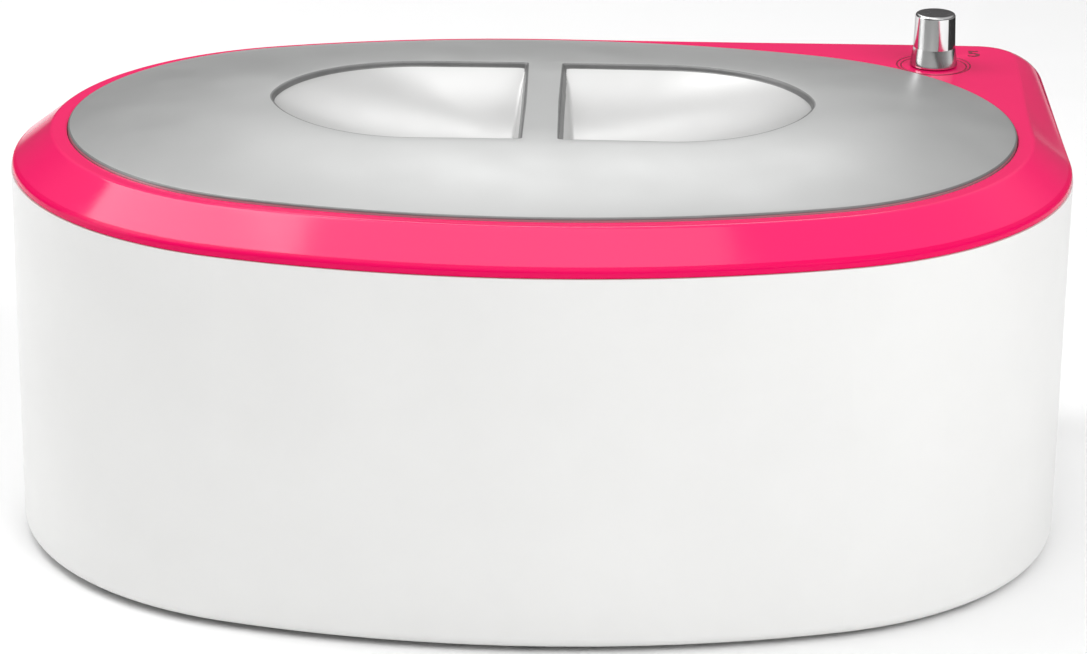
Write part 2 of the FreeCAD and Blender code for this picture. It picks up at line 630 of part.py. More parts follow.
def make_rubber_foot(name, point):
    """Round rubber foot with a countersunk middle for its screw."""
    body = new_body(name)
    disc = new_sketch(body, "disc")
    draw_circles(disc, [point], "foot_radius")
    pad(body, disc, "pad", ("base_bottom",))
    well = new_sketch(body, "well")
    draw_circles(well, [point], "foot_bore")
    pocket(body, well, "sink", ("base_bottom", "-foot_web"), downwards=False)
    hole = new_sketch(body, "hole")
    draw_circles(hole, [point], "hole_radius")
    pocket(body, hole, "bore", ("base_bottom",), downwards=False)
    round_edges(body, "edge", lambda edge: at_height(0)(edge) and edge.Length > 40, "foot_round")
    return body


# ---------------------------------------------------------------- pot, its clamp and its heater

def make_pot():
    """Deep-drawn oval tank with a flat flange."""
    body = new_body("pot")
    tub = new_sketch(body, "tub", ("flange_top",))
    draw_oval(tub, RIM + ("pot_inset",))
    pad(body, tub, "tub", ("flange_top", "-pot_floor", "pot_wall"), downwards=True)
    flange = new_sketch(body, "flange", ("flange_top",))
    draw_oval(flange, RIM + ("pot_flange",))
    pad(body, flange, "flange", ("pot_wall",), downwards=True)
    well = new_sketch(body, "well", ("flange_top",))
    draw_oval(well, RIM + ("pot_inset", "pot_wall"))
    pocket(body, well, "well", ("flange_top", "-pot_floor"))
    inner = RIM + ("pot_inset", "pot_wall")

    def inner_floor(edge):
        return at_height(size("pot_floor"))(edge) and abs(outside_oval(middle(edge), inner)) < 0.1

    round_edges(body, "inner_round", inner_floor, "pot_corner")
    under = size("pot_floor") - size("pot_wall")
    outer = round_edges(body, "outer_round", at_height(under), "pot_corner")
    outer.setExpression("Radius", "Dims.pot_corner + Dims.pot_wall")
    doc.recompute()
    return body


def make_oval_ring(name, height, outer, inner, bottom, holes=(), hole=None):
    """Flat or tall ring between two ovals, with optional round holes."""
    body = new_body(name)
    ring = new_sketch(body, "ring", bottom)
    draw_oval(ring, outer)
    draw_oval(ring, inner, "inner_")
    pad(body, ring, "ring", height)
    if holes:
        sketch = new_sketch(body, "holes", bottom)
        draw_circles(sketch, holes, hole)
        pocket(body, sketch, "hole", height, downwards=False)
    return body


def make_oval_plate(name, height, outline, bottom, hole):
    """Flat oval plate with a hole for each stud of the pot."""
    body = new_body(name)
    plate = new_sketch(body, "plate", bottom)
    draw_oval(plate, outline)
    pad(body, plate, "plate", height)
    holes = new_sketch(body, "holes", bottom)
    draw_circles(holes, STUDS, hole)
    pocket(body, holes, "hole", height, downwards=False)
    return body


def make_saddle_clip(name, centre_x, radius):
    """Sheet metal saddle that holds a round piece against the pot's underside."""
    top = size("pot_floor") - size("pot_wall")
    drop = 2 * size(radius) + size("under_pot") + size("clip_gap")
    inner = size(radius) + size("clip_gap")
    outer = inner + size("clip_wall")
    half = size("clip_width") / 2
    y = size("clip_y")
    low = top - drop - size("clip_wall")
    body = new_body(name)
    sketch = new_sketch(body, "profile", (), "YZ_Plane")
    sketch.AttachmentOffset = FreeCAD.Placement(FreeCAD.Vector(0, 0, centre_x - half),
                                                FreeCAD.Rotation())
    ear = size("clip_ear")
    corners = ((y - outer - ear, top), (y - outer - ear, top - size("clip_wall")),
               (y - outer, top - size("clip_wall")), (y - outer, low), (y + outer, low),
               (y + outer, top), (y + inner, top), (y + inner, top - drop),
               (y - inner, top - drop), (y - inner, top))
    draw_chain(sketch, corners)
    pad(body, sketch, "strip", ("clip_width",))
    return body


# ---------------------------------------------------------------- lid

def dome_radius():
    """Radius of the dome's arc, which is level where it meets the flat middle."""
    return (size("dome_run") ** 2 + size("dome_rise") ** 2) / (2 * size("dome_rise"))


def draw_dome_profile(sketch, rim_x, direction):
    """Section of the lid from its rim inwards, on an upright plane through an arc's centre."""
    run, wall = size("dome_run"), size("lid_wall")
    foot, top = amount(LID_BOTTOM), amount(LID_TOP)
    radius = dome_radius()
    centre_y = top - radius

    def place(inwards, height):
        return FreeCAD.Vector(rim_x - direction * inwards, height, 0)

    def dome(inwards, arc_radius):
        return place(inwards, centre_y + math.sqrt(arc_radius**2 - (run - inwards) ** 2))

    middle_run = run / 2
    outer = Part.Arc(dome(0, radius), dome(middle_run, radius), dome(run, radius))
    inner = Part.Arc(dome(run, radius - wall), dome(middle_run, radius - wall),
                     dome(wall, radius - wall))
    edges = [Part.LineSegment(place(0, foot), dome(0, radius)), outer,
             Part.LineSegment(dome(run, radius), dome(run, radius - wall)), inner,
             Part.LineSegment(dome(wall, radius - wall), place(wall, foot)),
             Part.LineSegment(place(wall, foot), place(0, foot))]
    for edge in edges:
        sketch.addGeometry(edge)


def make_lid():
    """Thin domed oval lid: four swept quadrants, a flat middle and two half-bowl finger scoops."""
    body = new_body("lid")
    side_x = side_centre() + size("side_radius") - amount(LID_RIM)
    front_y = size("half_depth") - amount(LID_RIM)
    reach = size("half_depth") - front_radius()
    side_turn = 2 * math.degrees(side_angle())
    # each bowl's outside comes first; its top lies inside the lid's own wall
    for name, side in SCOOPS:
        collar = new_sketch(body, name + "_collar", scoop_level(1, "lid_wall"))
        draw_scoop(collar, side, 1, "lid_wall")
        pad(body, collar, name + "_collar_ring", ("scoop_step", "lid_root"))
        loft_bowl(body, "PartDesign::AdditiveLoft", name + "_outside", side, "lid_wall")
    for name, role, rim, direction, axis, angle in (
            ("right", "XZ_Plane", side_x, 1, side_centre(), side_turn),
            ("left", "XZ_Plane", -side_x, -1, -side_centre(), side_turn),
            ("rear", "YZ_Plane", front_y, 1, reach, 180 - side_turn),
            ("front", "YZ_Plane", -front_y, -1, -reach, 180 - side_turn)):
        profile = new_sketch(body, name + "_profile", (), role)
        draw_dome_profile(profile, rim, direction)
        turning = new_sketch(body, name + "_axis", (), role)
        low, high = FreeCAD.Vector(axis, 0, 0), FreeCAD.Vector(axis, size("deck_top"), 0)
        turning.addGeometry(Part.LineSegment(low, high))
        sweep = body.newObject("PartDesign::Revolution", "lid_" + name)
        sweep.Profile = profile
        sweep.ReferenceAxis = (turning, ["Edge1"])
        sweep.Midplane = True
        sweep.Angle = angle
        doc.recompute()
    middle_plate = new_sketch(body, "middle", LID_TOP)
    draw_oval(middle_plate, LID_RIM + ("dome_run",))
    pad(body, middle_plate, "middle_plate", ("lid_wall",), downwards=True)
    for name, side in SCOOPS:
        step = new_sketch(body, name + "_step", LID_TOP)
        draw_scoop(step, side, 1)
        pocket(body, step, name + "_step_cut", ("scoop_step",))
        before = body.Shape.Volume
        loft_bowl(body, "PartDesign::SubtractiveLoft", name + "_bowl", side)
        if body.Shape.Volume >= before:
            raise RuntimeError(name + " cuts nothing")
    return body


def draw_scoop(sketch, side, share, skin=None):
    """Outline of a scoop at a share of its size, moved outwards by the skin."""
    out = size(skin) if skin else 0.0
    half, tip = size("scoop_half"), size("scoop_tip")
    run, reach = size("scoop_run"), size("scoop_length") - size("scoop_run") - tip
    # the side arc touches both the straight run and the tip arc
    bend = (reach**2 + half**2 - tip**2) / (2 * (half - tip))
    turn = math.atan2(bend - half, reach)
    lean = size("scoop_lean") * bowl_drop(share) / bowl_drop(0)
    start, wide = size("bridge_half") + lean - out, share * half + out
    side_x = size("bridge_half") + share * run
    tip_x = side_x + share * reach

    def spot(across, along):
        return FreeCAD.Vector(side * across, along, 0)

    def bow(across, along, radius, first, last):
        ends = (first, last) if side > 0 else (math.pi - last, math.pi - first)
        return arc(side * across, along, radius, *ends)

    drop = share * (bend - half)
    for edge in (Part.LineSegment(spot(start, wide), spot(start, -wide)),
                 Part.LineSegment(spot(start, -wide), spot(side_x, -wide)),
                 bow(side_x, drop, share * bend + out, -math.pi / 2, -turn),
                 bow(tip_x, 0, share * tip + out, -turn, turn),
                 bow(side_x, -drop, share * bend + out, turn, math.pi / 2),
                 Part.LineSegment(spot(side_x, wide), spot(start, wide))):
        sketch.addGeometry(edge)


def bowl_drop(share):
    """Depth of the bowl below its step where it has this share of its size: part of a sphere."""
    rise = size("scoop_rise")
    radius = size("scoop_depth") - size("scoop_step") + rise
    return math.sqrt(radius**2 - (radius**2 - rise**2) * share**2) - rise


def scoop_level(share, skin=None):
    """The expression for the height of that section of the bowl, or of its outside."""
    radius = "(Dims.scoop_depth - Dims.scoop_step + Dims.scoop_rise)"
    drop = "sqrt(%s^2 - (%s^2 - Dims.scoop_rise^2) * %g)" % (radius, radius, share**2)
    level = formula(LID_TOP + ("-scoop_step", "scoop_rise")) + " - " + drop
    return level + " - Dims." + skin if skin else level


def loft_bowl(body, kind, name, side, skin=None):
    """Smooth loft through the sections of a bowl, from its step down to its flat middle."""
    sections = []
    for number, share in enumerate(BOWL_SHARES, start=1):
        section = new_sketch(body, "%s_%d" % (name, number), scoop_level(share, skin))
        draw_scoop(section, side, share, skin)
        sections.append(section)
    loft = body.newObject(kind, body.Name + "_" + name)
    loft.Profile = sections[0]
    loft.Sections = sections[1:]
    doc.recompute()
    return loft


# ---------------------------------------------------------------- knob and thermostat

def knob_placement(height=0.0):
    """Frame on the knob's axis, turned to lie along the rim of the lid."""
    turn = FreeCAD.Rotation(FreeCAD.Vector(0, 0, 1), size("knob_turn"))
    return FreeCAD.Placement(FreeCAD.Vector(size("knob_x"), size("knob_y"), height), turn)


def make_knob_shell():
    """Turned metal knob: coned foot, slim waist, slightly tapered grip and a rounded top."""
    bottom = size("deck_top") + size("knob_lift")
    top = bottom + size("knob_height")
    foot, waist, crown = (size("knob_foot_radius"), size("knob_waist_radius"),
                          size("knob_top_radius"))
    bend = size("knob_round")
    bore, cap = size("knob_bore"), size("knob_cap")
    foot_top, waist_top = bottom + size("knob_foot_height"), bottom + size("knob_waist_height")
    body = new_body("knob_shell")
    sketch = new_sketch(body, "profile", (), "XZ_Plane")

    def spot(radius, height):
        return FreeCAD.Vector(radius, height, 0)

    flare = Part.LineSegment(spot(foot, foot_top), spot(waist, waist_top))
    corner = bend * (1 - math.sqrt(0.5))
    crest = Part.Arc(spot(crown, top - bend), spot(crown - corner, top - corner),
                     spot(crown - bend, top))
    for edge in (Part.LineSegment(spot(foot, bottom), spot(foot, foot_top)), flare,
                 Part.LineSegment(spot(waist, waist_top), spot(crown, top - bend)), crest,
                 Part.LineSegment(spot(crown - bend, top), spot(0, top)),
                 Part.LineSegment(spot(0, top), spot(0, top - cap)),
                 Part.LineSegment(spot(0, top - cap), spot(bore, top - cap)),
                 Part.LineSegment(spot(bore, top - cap), spot(bore, bottom)),
                 Part.LineSegment(spot(bore, bottom), spot(foot, bottom))):
        sketch.addGeometry(edge)
    turned = body.newObject("PartDesign::Revolution", "knob_shell_turned")
    turned.Profile = sketch
    turned.ReferenceAxis = (sketch, ["V_Axis"])
    turned.Angle = 360
    body.Placement = knob_placement()
    return body


def make_shaft(name, radius, flat_from, bottom, top):
    """Round spindle whose upper end has one flat, as a plain feature."""
    round_part = solid("Cylinder", name + "_round", (0, 0, amount(bottom)),
                       Radius=formula(radius),
                       Height=formula(top) + " - (" + formula(bottom) + ")")
    flat = solid("Box", name + "_flat", (-amount(radius), amount(radius) - size("shaft_flat"),
                                         amount(flat_from)),
                 Length="2 * (" + formula(radius) + ")", Width=formula(radius),
                 Height=formula(top))
    return cut(name, round_part, flat)


def make_knob_insert():
    """Moulded hub inside the knob that grips the flattened spindle."""
    low = ("deck_top", "knob_lift", "insert_recess")
    hub = solid("Cylinder", "insert_hub", (0, 0, amount(low)), Radius="Dims.knob_bore",
                Height="Dims.insert_height")
    spindle = make_shaft("insert_spindle", ("shaft_radius",), ("deck_top",), ("shaft_bottom",),
                         ("shaft_top",))
    insert = cut("knob_insert", hub, spindle)
    insert.Placement = knob_placement()
    insert.Label = "knob_insert"
    return insert


def make_thermostat_shaft():
    shaft = make_shaft("thermostat_shaft", ("shaft_radius",), ("deck_top",), ("shaft_bottom",),
                       ("shaft_top",))
    shaft.Placement = knob_placement()
    shaft.Label = "thermostat_shaft"
    return shaft


def make_thermostat_body():
    """Boxed capillary thermostat with a round collar and a bore for its spindle."""
    body = new_body("thermostat_body")
    under = ("bracket_top", "-bracket_height")
    block = new_sketch(body, "block", under)
    draw_rectangle(block, (0, 0), "stat_length", "stat_width")
    pad(body, block, "block", ("stat_height",), downwards=True)
    round_edges(body, "corners", lambda edge: edge.BoundBox.ZLength > 1, "stat_corner")
    collar = new_sketch(body, "collar", under)
    draw_circles(collar, [(0, 0)], "stat_collar")
    pad(body, collar, "collar", ("stat_collar_height",))
    bore = new_sketch(body, "bore", under + ("stat_collar_height",))
    draw_circles(bore, [(0, 0)], "stat_bore")
    pocket(body, bore, "bore", ("stat_bore_depth", "stat_collar_height"))
    holes = new_sketch(body, "holes", under)
    draw_circles(holes, both_sides(size("stat_screw"), 0), "screw_radius")
    pocket(body, holes, "screw_hole", ("stat_screw_depth",))
    body.Placement = knob_placement()
    return body


def make_thermostat_bracket():
    """Steel strip that hangs the thermostat under the cover."""
    body = new_body("thermostat_bracket")
    strip = new_sketch(body, "strip", ("bracket_top",))
    draw_rectangle(strip, (0, 0), "bracket_length", "bracket_width")
    pad(body, strip, "strip", ("bracket_height",), downwards=True)
    for name, points, radius in (("collar", [(0, 0)], "bracket_bore"),
                                 ("casing", both_sides(size("bracket_screw"), 0), "hole_radius"),
                                 ("stat", both_sides(size("stat_screw"), 0), "hole_radius")):
        hole = new_sketch(body, name, ("bracket_top",))
        draw_circles(hole, points, radius)
        pocket(body, hole, name + "_hole", ("bracket_height",))
    body.Placement = knob_placement()
    return body


def make_thermostat_tabs():
    """Two flat brass tabs under the thermostat for its leads."""
    low = size("bracket_top") - size("bracket_height") - size("stat_height") - size("tab_length")
    tabs = []
    for number, side in enumerate((-1, 1)):
        x, y = knob_local(side * size("tab_side"), 0)
        tab = doc.addObject("Part::Box", "thermostat_tab%d" % number)
        tab.setExpression("Length", "Dims.tab_thick")
        tab.setExpression("Width", "Dims.tab_width")
        tab.setExpression("Height", "Dims.tab_length")
        turn = knob_placement().Rotation
        corner = turn.multVec(FreeCAD.Vector(-size("tab_thick") / 2, -size("tab_width") / 2, 0))
        tab.Placement = FreeCAD.Placement(FreeCAD.Vector(x, y, low) + corner, turn)
        tabs.append(tab)
    return group("thermostat_tabs", tabs)


# ---------------------------------------------------------------- mains inlet

def draw_socket(sketch, centre, length, height, corner):
    """Rectangle whose two upper corners are cut off."""
    wide, tall, cut_off = size(length) / 2, size(height) / 2, size(corner)
    x, z = centre
    draw_chain(sketch, ((x - wide, z - tall), (x + wide, z - tall), (x + wide, z + tall - cut_off),
                        (x + wide - cut_off, z + tall), (x - wide + cut_off, z + tall),
                        (x - wide, z + tall - cut_off)))


def pin_places():
    """Lower left corner of each of the three pins, as X and Z."""
    x, z = size("inlet_x"), size("inlet_z")
    half, tall = size("pin_width") / 2, size("pin_height") / 2
    return [(x - size("pin_side") - half, z - size("pin_low") - tall),
            (x + size("pin_side") - half, z - size("pin_low") - tall),
            (x - half, z + size("pin_high") - tall)]


def make_inlet_pins():
    """Three flat pins: tabs at the back for the leads, blades in the socket."""
    floor = size("inlet_face") - size("socket_depth")
    start = size("inlet_face") - size("inlet_depth") - size("pin_tail")
    pins = []
    for number, (x, z) in enumerate(pin_places()):
        pin = doc.addObject("Part::Box", "inlet_pin%d" % number)
        pin.setExpression("Length", "Dims.pin_width")
        pin.setExpression("Height", "Dims.pin_height")
        pin.Width = floor + size("pin_reach") - start
        pin.Placement = FreeCAD.Placement(FreeCAD.Vector(x, start, z), FreeCAD.Rotation())
        pins.append(pin)
    return group("inlet_pins", pins)


def make_power_inlet(pins):
    """Moulded mains inlet: flange, housing, socket and slots that hold the three pins."""
    body = new_body("inlet_housing")
    centre = (size("inlet_x"), size("inlet_z"))
    flange = new_sketch(body, "flange", ("-inlet_face",), "XZ_Plane")
    draw_rectangle(flange, centre, "inlet_flange_length", "inlet_flange_height")
    pad(body, flange, "flange", ("inlet_flange",))
    round_edges(body, "corners", lambda edge: edge.Length < size("inlet_flange") + 0.1,
                "inlet_corner")
    housing = new_sketch(body, "housing", ("-inlet_face",), "XZ_Plane")
    draw_socket(housing, centre, "inlet_length", "inlet_height", "socket_corner")
    pad(body, housing, "housing", ("inlet_depth",))
    socket = new_sketch(body, "socket", ("-inlet_face",), "XZ_Plane")
    draw_socket(socket, centre, "socket_length", "socket_height", "socket_corner")
    pocket(body, socket, "socket", ("socket_depth",), downwards=False)
    holes = new_sketch(body, "holes", ("-inlet_face",), "XZ_Plane")
    draw_circles(holes, INLET_SCREWS, "hole_radius")
    pocket(body, holes, "hole", ("inlet_flange",), downwards=False)
    inlet = cut("power_inlet", body, pins)
    inlet.Label = "power_inlet"
    return inlet


# ---------------------------------------------------------------- fasteners

def make_nut(name, position, across, height, bore, direction=(0, 0, 1)):
    """Hexagonal nut; across is the cell with its corner radius."""
    turn = FreeCAD.Rotation(FreeCAD.Vector(0, 0, 1), FreeCAD.Vector(*direction))
    block = doc.addObject("Part::Prism", name + "_block")
    block.Polygon = 6
    block.setExpression("Circumradius", formula([across]))
    block.setExpression("Height", formula([height]))
    hole = doc.addObject("Part::Cylinder", name + "_bore")
    hole.setExpression("Radius", formula([bore]))
    hole.setExpression("Height", formula([height]))
    for piece in (block, hole):
        piece.Placement = FreeCAD.Placement(FreeCAD.Vector(*position), turn)
    return cut(name, block, hole)


def make_screws():
    """All the screws and nuts, one node for each identical set."""
    head = size("head_height")
    base_low = size("base_bottom")
    ring_low = amount(RING_TOP) - size("ring_height")
    bracket_low = size("bracket_top") - size("bracket_height")
    base = [screw("base_screw%d" % number, (x, y, base_low), size("base_screw_length"), slot=True)
            for number, (x, y) in enumerate(CASING_SCREWS)]
    cover = [screw("cover_screw%d" % number, (x, y, size("boss_bottom") - head),
                   size("cover_screw_length"))
             for number, (x, y) in enumerate(CASING_SCREWS)]
    foot = [screw("foot_screw%d" % number, (x, y, size("foot_screw_start")),
                  size("foot_screw_length"), head=("head_radius", "foot_head_height"), slot=True)
            for number, (x, y) in enumerate(FEET)]
    clamp = [screw("clamp_screw%d" % number, (x, y, ring_low - head), size("ring_screw_length"))
             for number, (x, y) in enumerate(RING_SCREWS)]
    bracket = [screw("bracket_screw%d" % number, (x, y, bracket_low - head),
                     size("bracket_screw_length"))
               for number, (x, y) in enumerate(BRACKET_SCREWS)]
    stat = [screw("stat_screw%d" % number, (x, y, size("bracket_top") + head),
                  size("stat_screw_length"), upwards=(0, 0, -1))
            for number, (x, y) in enumerate(STAT_SCREWS)]
    inlet = [screw("inlet_screw%d" % number, (x, size("inlet_face") + head, z),
                   size("inlet_screw_length"), upwards=(0, -1, 0), slot=True)
             for number, (x, z) in enumerate(INLET_SCREWS)]
    nuts = [make_nut("inlet_nut%d" % number, (x, size("panel_inner"), z), "small_nut_radius",
                     "small_nut_height", "screw_radius", (0, -1, 0))
            for number, (x, z) in enumerate(INLET_SCREWS)]
    return [group("base_screws", base), group("cover_screws", cover), group("foot_screws", foot),
            group("clamp_ring_screws", clamp), group("bracket_screws", bracket),
            group("thermostat_screws", stat), group("inlet_screws", inlet),
            group("inlet_nuts", nuts)]


def make_pot_studs():
    """Four studs welded under the pot, each with a nut; one more nut holds the earth tag."""
    shield_low = amount(SHIELD_BOTTOM)
    nut_height, tag = size("nut_height"), size("tag_height")
    studs = [solid("Cylinder", "pot_stud%d" % number, (x, y, size("stud_bottom")),
                   Radius="Dims.stud_radius",
                   Height=formula(("pot_floor", "-pot_wall", "-stud_bottom")))
             for number, (x, y) in enumerate(STUDS)]
    nuts = [make_nut("stud_nut%d" % number, (x, y, shield_low - nut_height), "nut_radius",
                     "nut_height", "stud_radius")
            for number, (x, y) in enumerate(STUDS)]
    x, y = STUDS[-1]
    tag_low = shield_low - nut_height - tag
    earth_nut = make_nut("earth_nut_one", (x, y, tag_low - nut_height), "nut_radius",
                         "nut_height", "stud_radius")
    strip = solid("Box", "earth_tag_strip", (x - size("tag_half"), y - size("tag_half"), tag_low),
                  Length="2 * Dims.tag_half", Width="Dims.earth_tag_length",
                  Height="Dims.tag_height")
    hole = solid("Cylinder", "earth_tag_hole", (x, y, tag_low), Radius="Dims.stud_radius",
                 Height="Dims.tag_height")
    earth_tag = cut("earth_tag", strip, hole)
    earth_tag.Label = "earth_tag"
    return [group("pot_studs", studs), group("stud_nuts", nuts),
            group("earth_nut", [earth_nut]), earth_tag]


# ---------------------------------------------------------------- sensor, fuse and leads

def make_rod(name, centre_x, length, radius):
    """Round piece lying along X, clipped under the pot."""
    z = size("pot_floor") - size("pot_wall") - size("under_pot") - size(radius)
    rod = solid("Cylinder", name, (centre_x - size(length) / 2, size("clip_y"), z), 90.0,
                (0, 1, 0), Radius=formula([radius]), Height=formula([length]))
    rod.Label = name
    return rod


def rounded_path(points):
    """Straight runs joined by tangent arcs, each as large as its two runs allow."""
    corners = [FreeCAD.Vector(*point) for point in points]
    edges, radii = [], []
    start = corners[0]
    for before, corner, after in zip(corners, corners[1:], corners[2:]):
        arriving, leaving = corner - before, after - corner
        turn = arriving.getAngle(leaving)
        cut_back = 0.45 * min(arriving.Length, leaving.Length)
        radii.append(cut_back / math.tan(turn / 2))
        arriving.normalize()
        leaving.normalize()
        enter, leave = corner - arriving * cut_back, corner + leaving * cut_back
        inwards = leaving - arriving
        inwards.normalize()
        depth = radii[-1] * (1 / math.cos(turn / 2) - 1)
        edges.append(Part.LineSegment(start, enter).toShape())
        edges.append(Part.Arc(enter, corner + inwards * depth, leave).toShape())
        start = leave
    edges.append(Part.LineSegment(start, corners[-1]).toShape())
    return Part.Wire(edges), radii


def make_lead(name, points, radius):
    """Round lead along a rounded path, as a plain solid."""
    path, radii = rounded_path(points)
    start = FreeCAD.Vector(*points[0])
    heading = FreeCAD.Vector(*points[1]) - start
    circle = Part.Circle(start, heading, size(radius))
    profile = Part.Wire([circle.toShape()])
    lead = doc.addObject("Part::Feature", name)
    lead.Shape = path.makePipeShell([profile], True, True)
    lead.Label = name
    expected = math.pi * size(radius) ** 2 * path.Length
    print("%s: length %.0f, volume ratio %.3f, radii %s" % (
        name, path.Length, lead.Shape.Volume / expected, [round(value, 1) for value in radii]))
    return lead


def make_leads():
    """Mains leads, heater leads, earth lead and the thermostat's capillary."""
    back = size("inlet_face") - size("inlet_depth") - size("pin_tail")
    x, z = size("inlet_x"), size("inlet_z")
    side, low = size("pin_side"), z - size("pin_low")
    tab_low = (size("bracket_top") - size("bracket_height") - size("stat_height")
               - size("tab_length"))
    live_x, live_y = knob_local(size("tab_side"), 0)
    load_x, load_y = knob_local(-size("tab_side"), 0)
    bulb_x, bulb_y = knob_local(0, size("capillary_side"))
    under = size("pot_floor") - size("pot_wall") - size("under_pot")
    fuse_z, bulb_z = under - size("fuse_radius"), under - size("bulb_radius")
    heater_z = under - size("heater_height") / 2
    clip_y = size("clip_y")
    fuse_left = size("fuse_x") - size("fuse_length") / 2
    fuse_right = size("fuse_x") + size("fuse_length") / 2
    bulb_right = size("bulb_x") + size("bulb_length") / 2
    heater_x, heater_y = size("heater_tab_x"), size("heater_tab_y")
    tag_z = amount(SHIELD_BOTTOM) - size("nut_height") - size("tag_height") / 2
    tag_y = size("stud_y") - size("tag_half") + size("earth_tag_length")
    stat_low = size("bracket_top") - size("bracket_height") - size("stat_height")
    routes = (
        ("live_lead", "lead_radius",
         ((x + side, back, low), (x + side, back - 14, low), (132, 76, low + 4),
          (live_x, live_y, low + 24), (live_x, live_y, tab_low))),
        ("switched_lead", "lead_radius",
         ((load_x, load_y, tab_low), (load_x, load_y, 58), (120, 90, 40), (70, 86, 37),
          (10, 84, 38), (fuse_right + 18, clip_y, fuse_z), (fuse_right, clip_y, fuse_z))),
        ("heater_lead", "lead_radius",
         ((fuse_left, clip_y, fuse_z), (fuse_left - 13, clip_y, fuse_z),
          (-heater_x, clip_y - 12, heater_z), (-heater_x, heater_y, heater_z))),
        ("neutral_lead", "lead_radius",
         ((x - side, back, low), (x - side, back - 12, low), (x - side - 3, 74, 38),
          (heater_x, 64, heater_z), (heater_x, heater_y, heater_z))),
        ("earth_lead", "lead_radius",
         ((x, back, z + size("pin_high")), (x, back - 12, z + size("pin_high")),
          (x, tag_y + 16, tag_z), (x, tag_y, tag_z))),
        ("capillary_tube", "capillary_radius",
         ((bulb_x, bulb_y, stat_low), (bulb_x, bulb_y, 74), (146, 86, 54), (118, 79, bulb_z),
          (bulb_right + 16, clip_y, bulb_z), (bulb_right, clip_y, bulb_z))),
    )
    return [make_lead(name, points, radius) for name, radius, points in routes]


# ---------------------------------------------------------------- the whole warmer

def make_all():
    """Every separate piece, in the order in which the warmer is put together."""
    nodes = [make_body_shell(), make_deck_cover(), make_base_plate()]
    for name, point in zip(("front_left", "front_right", "rear_left", "rear_right"), FEET):
        nodes.append(make_rubber_foot("rubber_foot_" + name, point))
    nodes.append(make_pot())
    nodes.append(make_oval_ring("pot_gasket", ("gasket_height",), RIM + ("gasket_inset",),
                                RIM + ("pot_inset",), ("flange_top",)))
    nodes.append(make_oval_ring("pot_clamp_ring", ("ring_height",), RIM + ("-ring_reach",),
                                RIM + ("ring_bore",), RING_TOP + ("-ring_height",),
                                RING_SCREWS, "hole_radius"))
    nodes.append(make_oval_ring("insulation_wrap", ("wrap_top", "-wrap_bottom"),
                                RIM + ("wrap_outer",), RIM + ("wrap_inner",), ("wrap_bottom",)))
    nodes.append(make_oval_plate("heater_mat", ("heater_height",), RIM + ("heater_inset",),
                                 HEATER_BOTTOM, "stud_clearance"))
    nodes.append(make_oval_plate("insulation_pad", ("pad_height",), RIM + ("pad_inset",),
                                 PAD_BOTTOM, "stud_clearance"))
    nodes.append(make_oval_plate("heat_shield", ("shield_height",), RIM + ("shield_inset",),
                                 SHIELD_BOTTOM, "shield_bore"))
    nodes += make_pot_studs()
    nodes.append(make_rod("sensor_bulb", size("bulb_x"), "bulb_length", "bulb_radius"))
    nodes.append(make_saddle_clip("bulb_clip", size("bulb_x"), "bulb_radius"))
    nodes.append(make_rod("thermal_fuse", size("fuse_x"), "fuse_length", "fuse_radius"))
    nodes.append(make_saddle_clip("fuse_clip", size("fuse_x"), "fuse_radius"))
    nodes += [make_thermostat_body(), make_thermostat_bracket(), make_thermostat_tabs()]
    pins = make_inlet_pins()
    nodes += [make_power_inlet(pins), pins]
    nodes += make_screws()
    nodes += make_leads()
    nodes += [make_lid(), make_knob_shell(), make_knob_insert(), make_thermostat_shaft()]
    return nodes


def check_and_export(nodes):
    """Refuse failed features and bad shapes, then write one file for each piece."""
    doc.recompute()
    for feature in doc.Objects:
        if "Invalid" in feature.State or "Error" in feature.State:
            raise RuntimeError("%s failed: %s" % (feature.Name, feature.getStatusString()))
    labels = [node.Label for node in nodes]
    if len(set(labels)) != len(labels):
        raise RuntimeError("two pieces share a name")
    for node in nodes:
        if node.Shape.isNull() or not node.Shape.isValid() or not node.Shape.Solids:
            raise RuntimeError(node.Label + " has a bad shape")
    os.makedirs("parts", exist_ok=True)
    for node in nodes:
        node.Shape.exportStep(os.path.join("parts", node.Label + ".step"))
        print("%-28s %d solid(s), %.1f cm3" % (node.Label, len(node.Shape.Solids),
                                               node.Shape.Volume / 1000))


check_and_export(make_all())
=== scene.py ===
import json
import math

import bmesh
import bpy
import numpy as np
from mathutils import Matrix, Vector
from mathutils.geometry import delaunay_2d_cdt


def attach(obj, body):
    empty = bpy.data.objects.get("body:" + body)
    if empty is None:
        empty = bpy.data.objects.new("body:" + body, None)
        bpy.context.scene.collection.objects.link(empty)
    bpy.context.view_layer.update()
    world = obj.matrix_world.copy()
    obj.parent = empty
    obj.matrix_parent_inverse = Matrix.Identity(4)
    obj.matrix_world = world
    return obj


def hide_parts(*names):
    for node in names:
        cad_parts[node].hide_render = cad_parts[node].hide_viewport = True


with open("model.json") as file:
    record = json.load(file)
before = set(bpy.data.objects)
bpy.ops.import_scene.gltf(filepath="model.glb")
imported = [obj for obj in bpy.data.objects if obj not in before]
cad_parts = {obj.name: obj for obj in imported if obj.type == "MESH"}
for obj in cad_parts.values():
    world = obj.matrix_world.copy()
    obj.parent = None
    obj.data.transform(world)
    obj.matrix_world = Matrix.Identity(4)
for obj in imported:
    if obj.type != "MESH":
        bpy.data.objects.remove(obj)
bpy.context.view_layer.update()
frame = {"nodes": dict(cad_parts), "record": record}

MM = 0.001

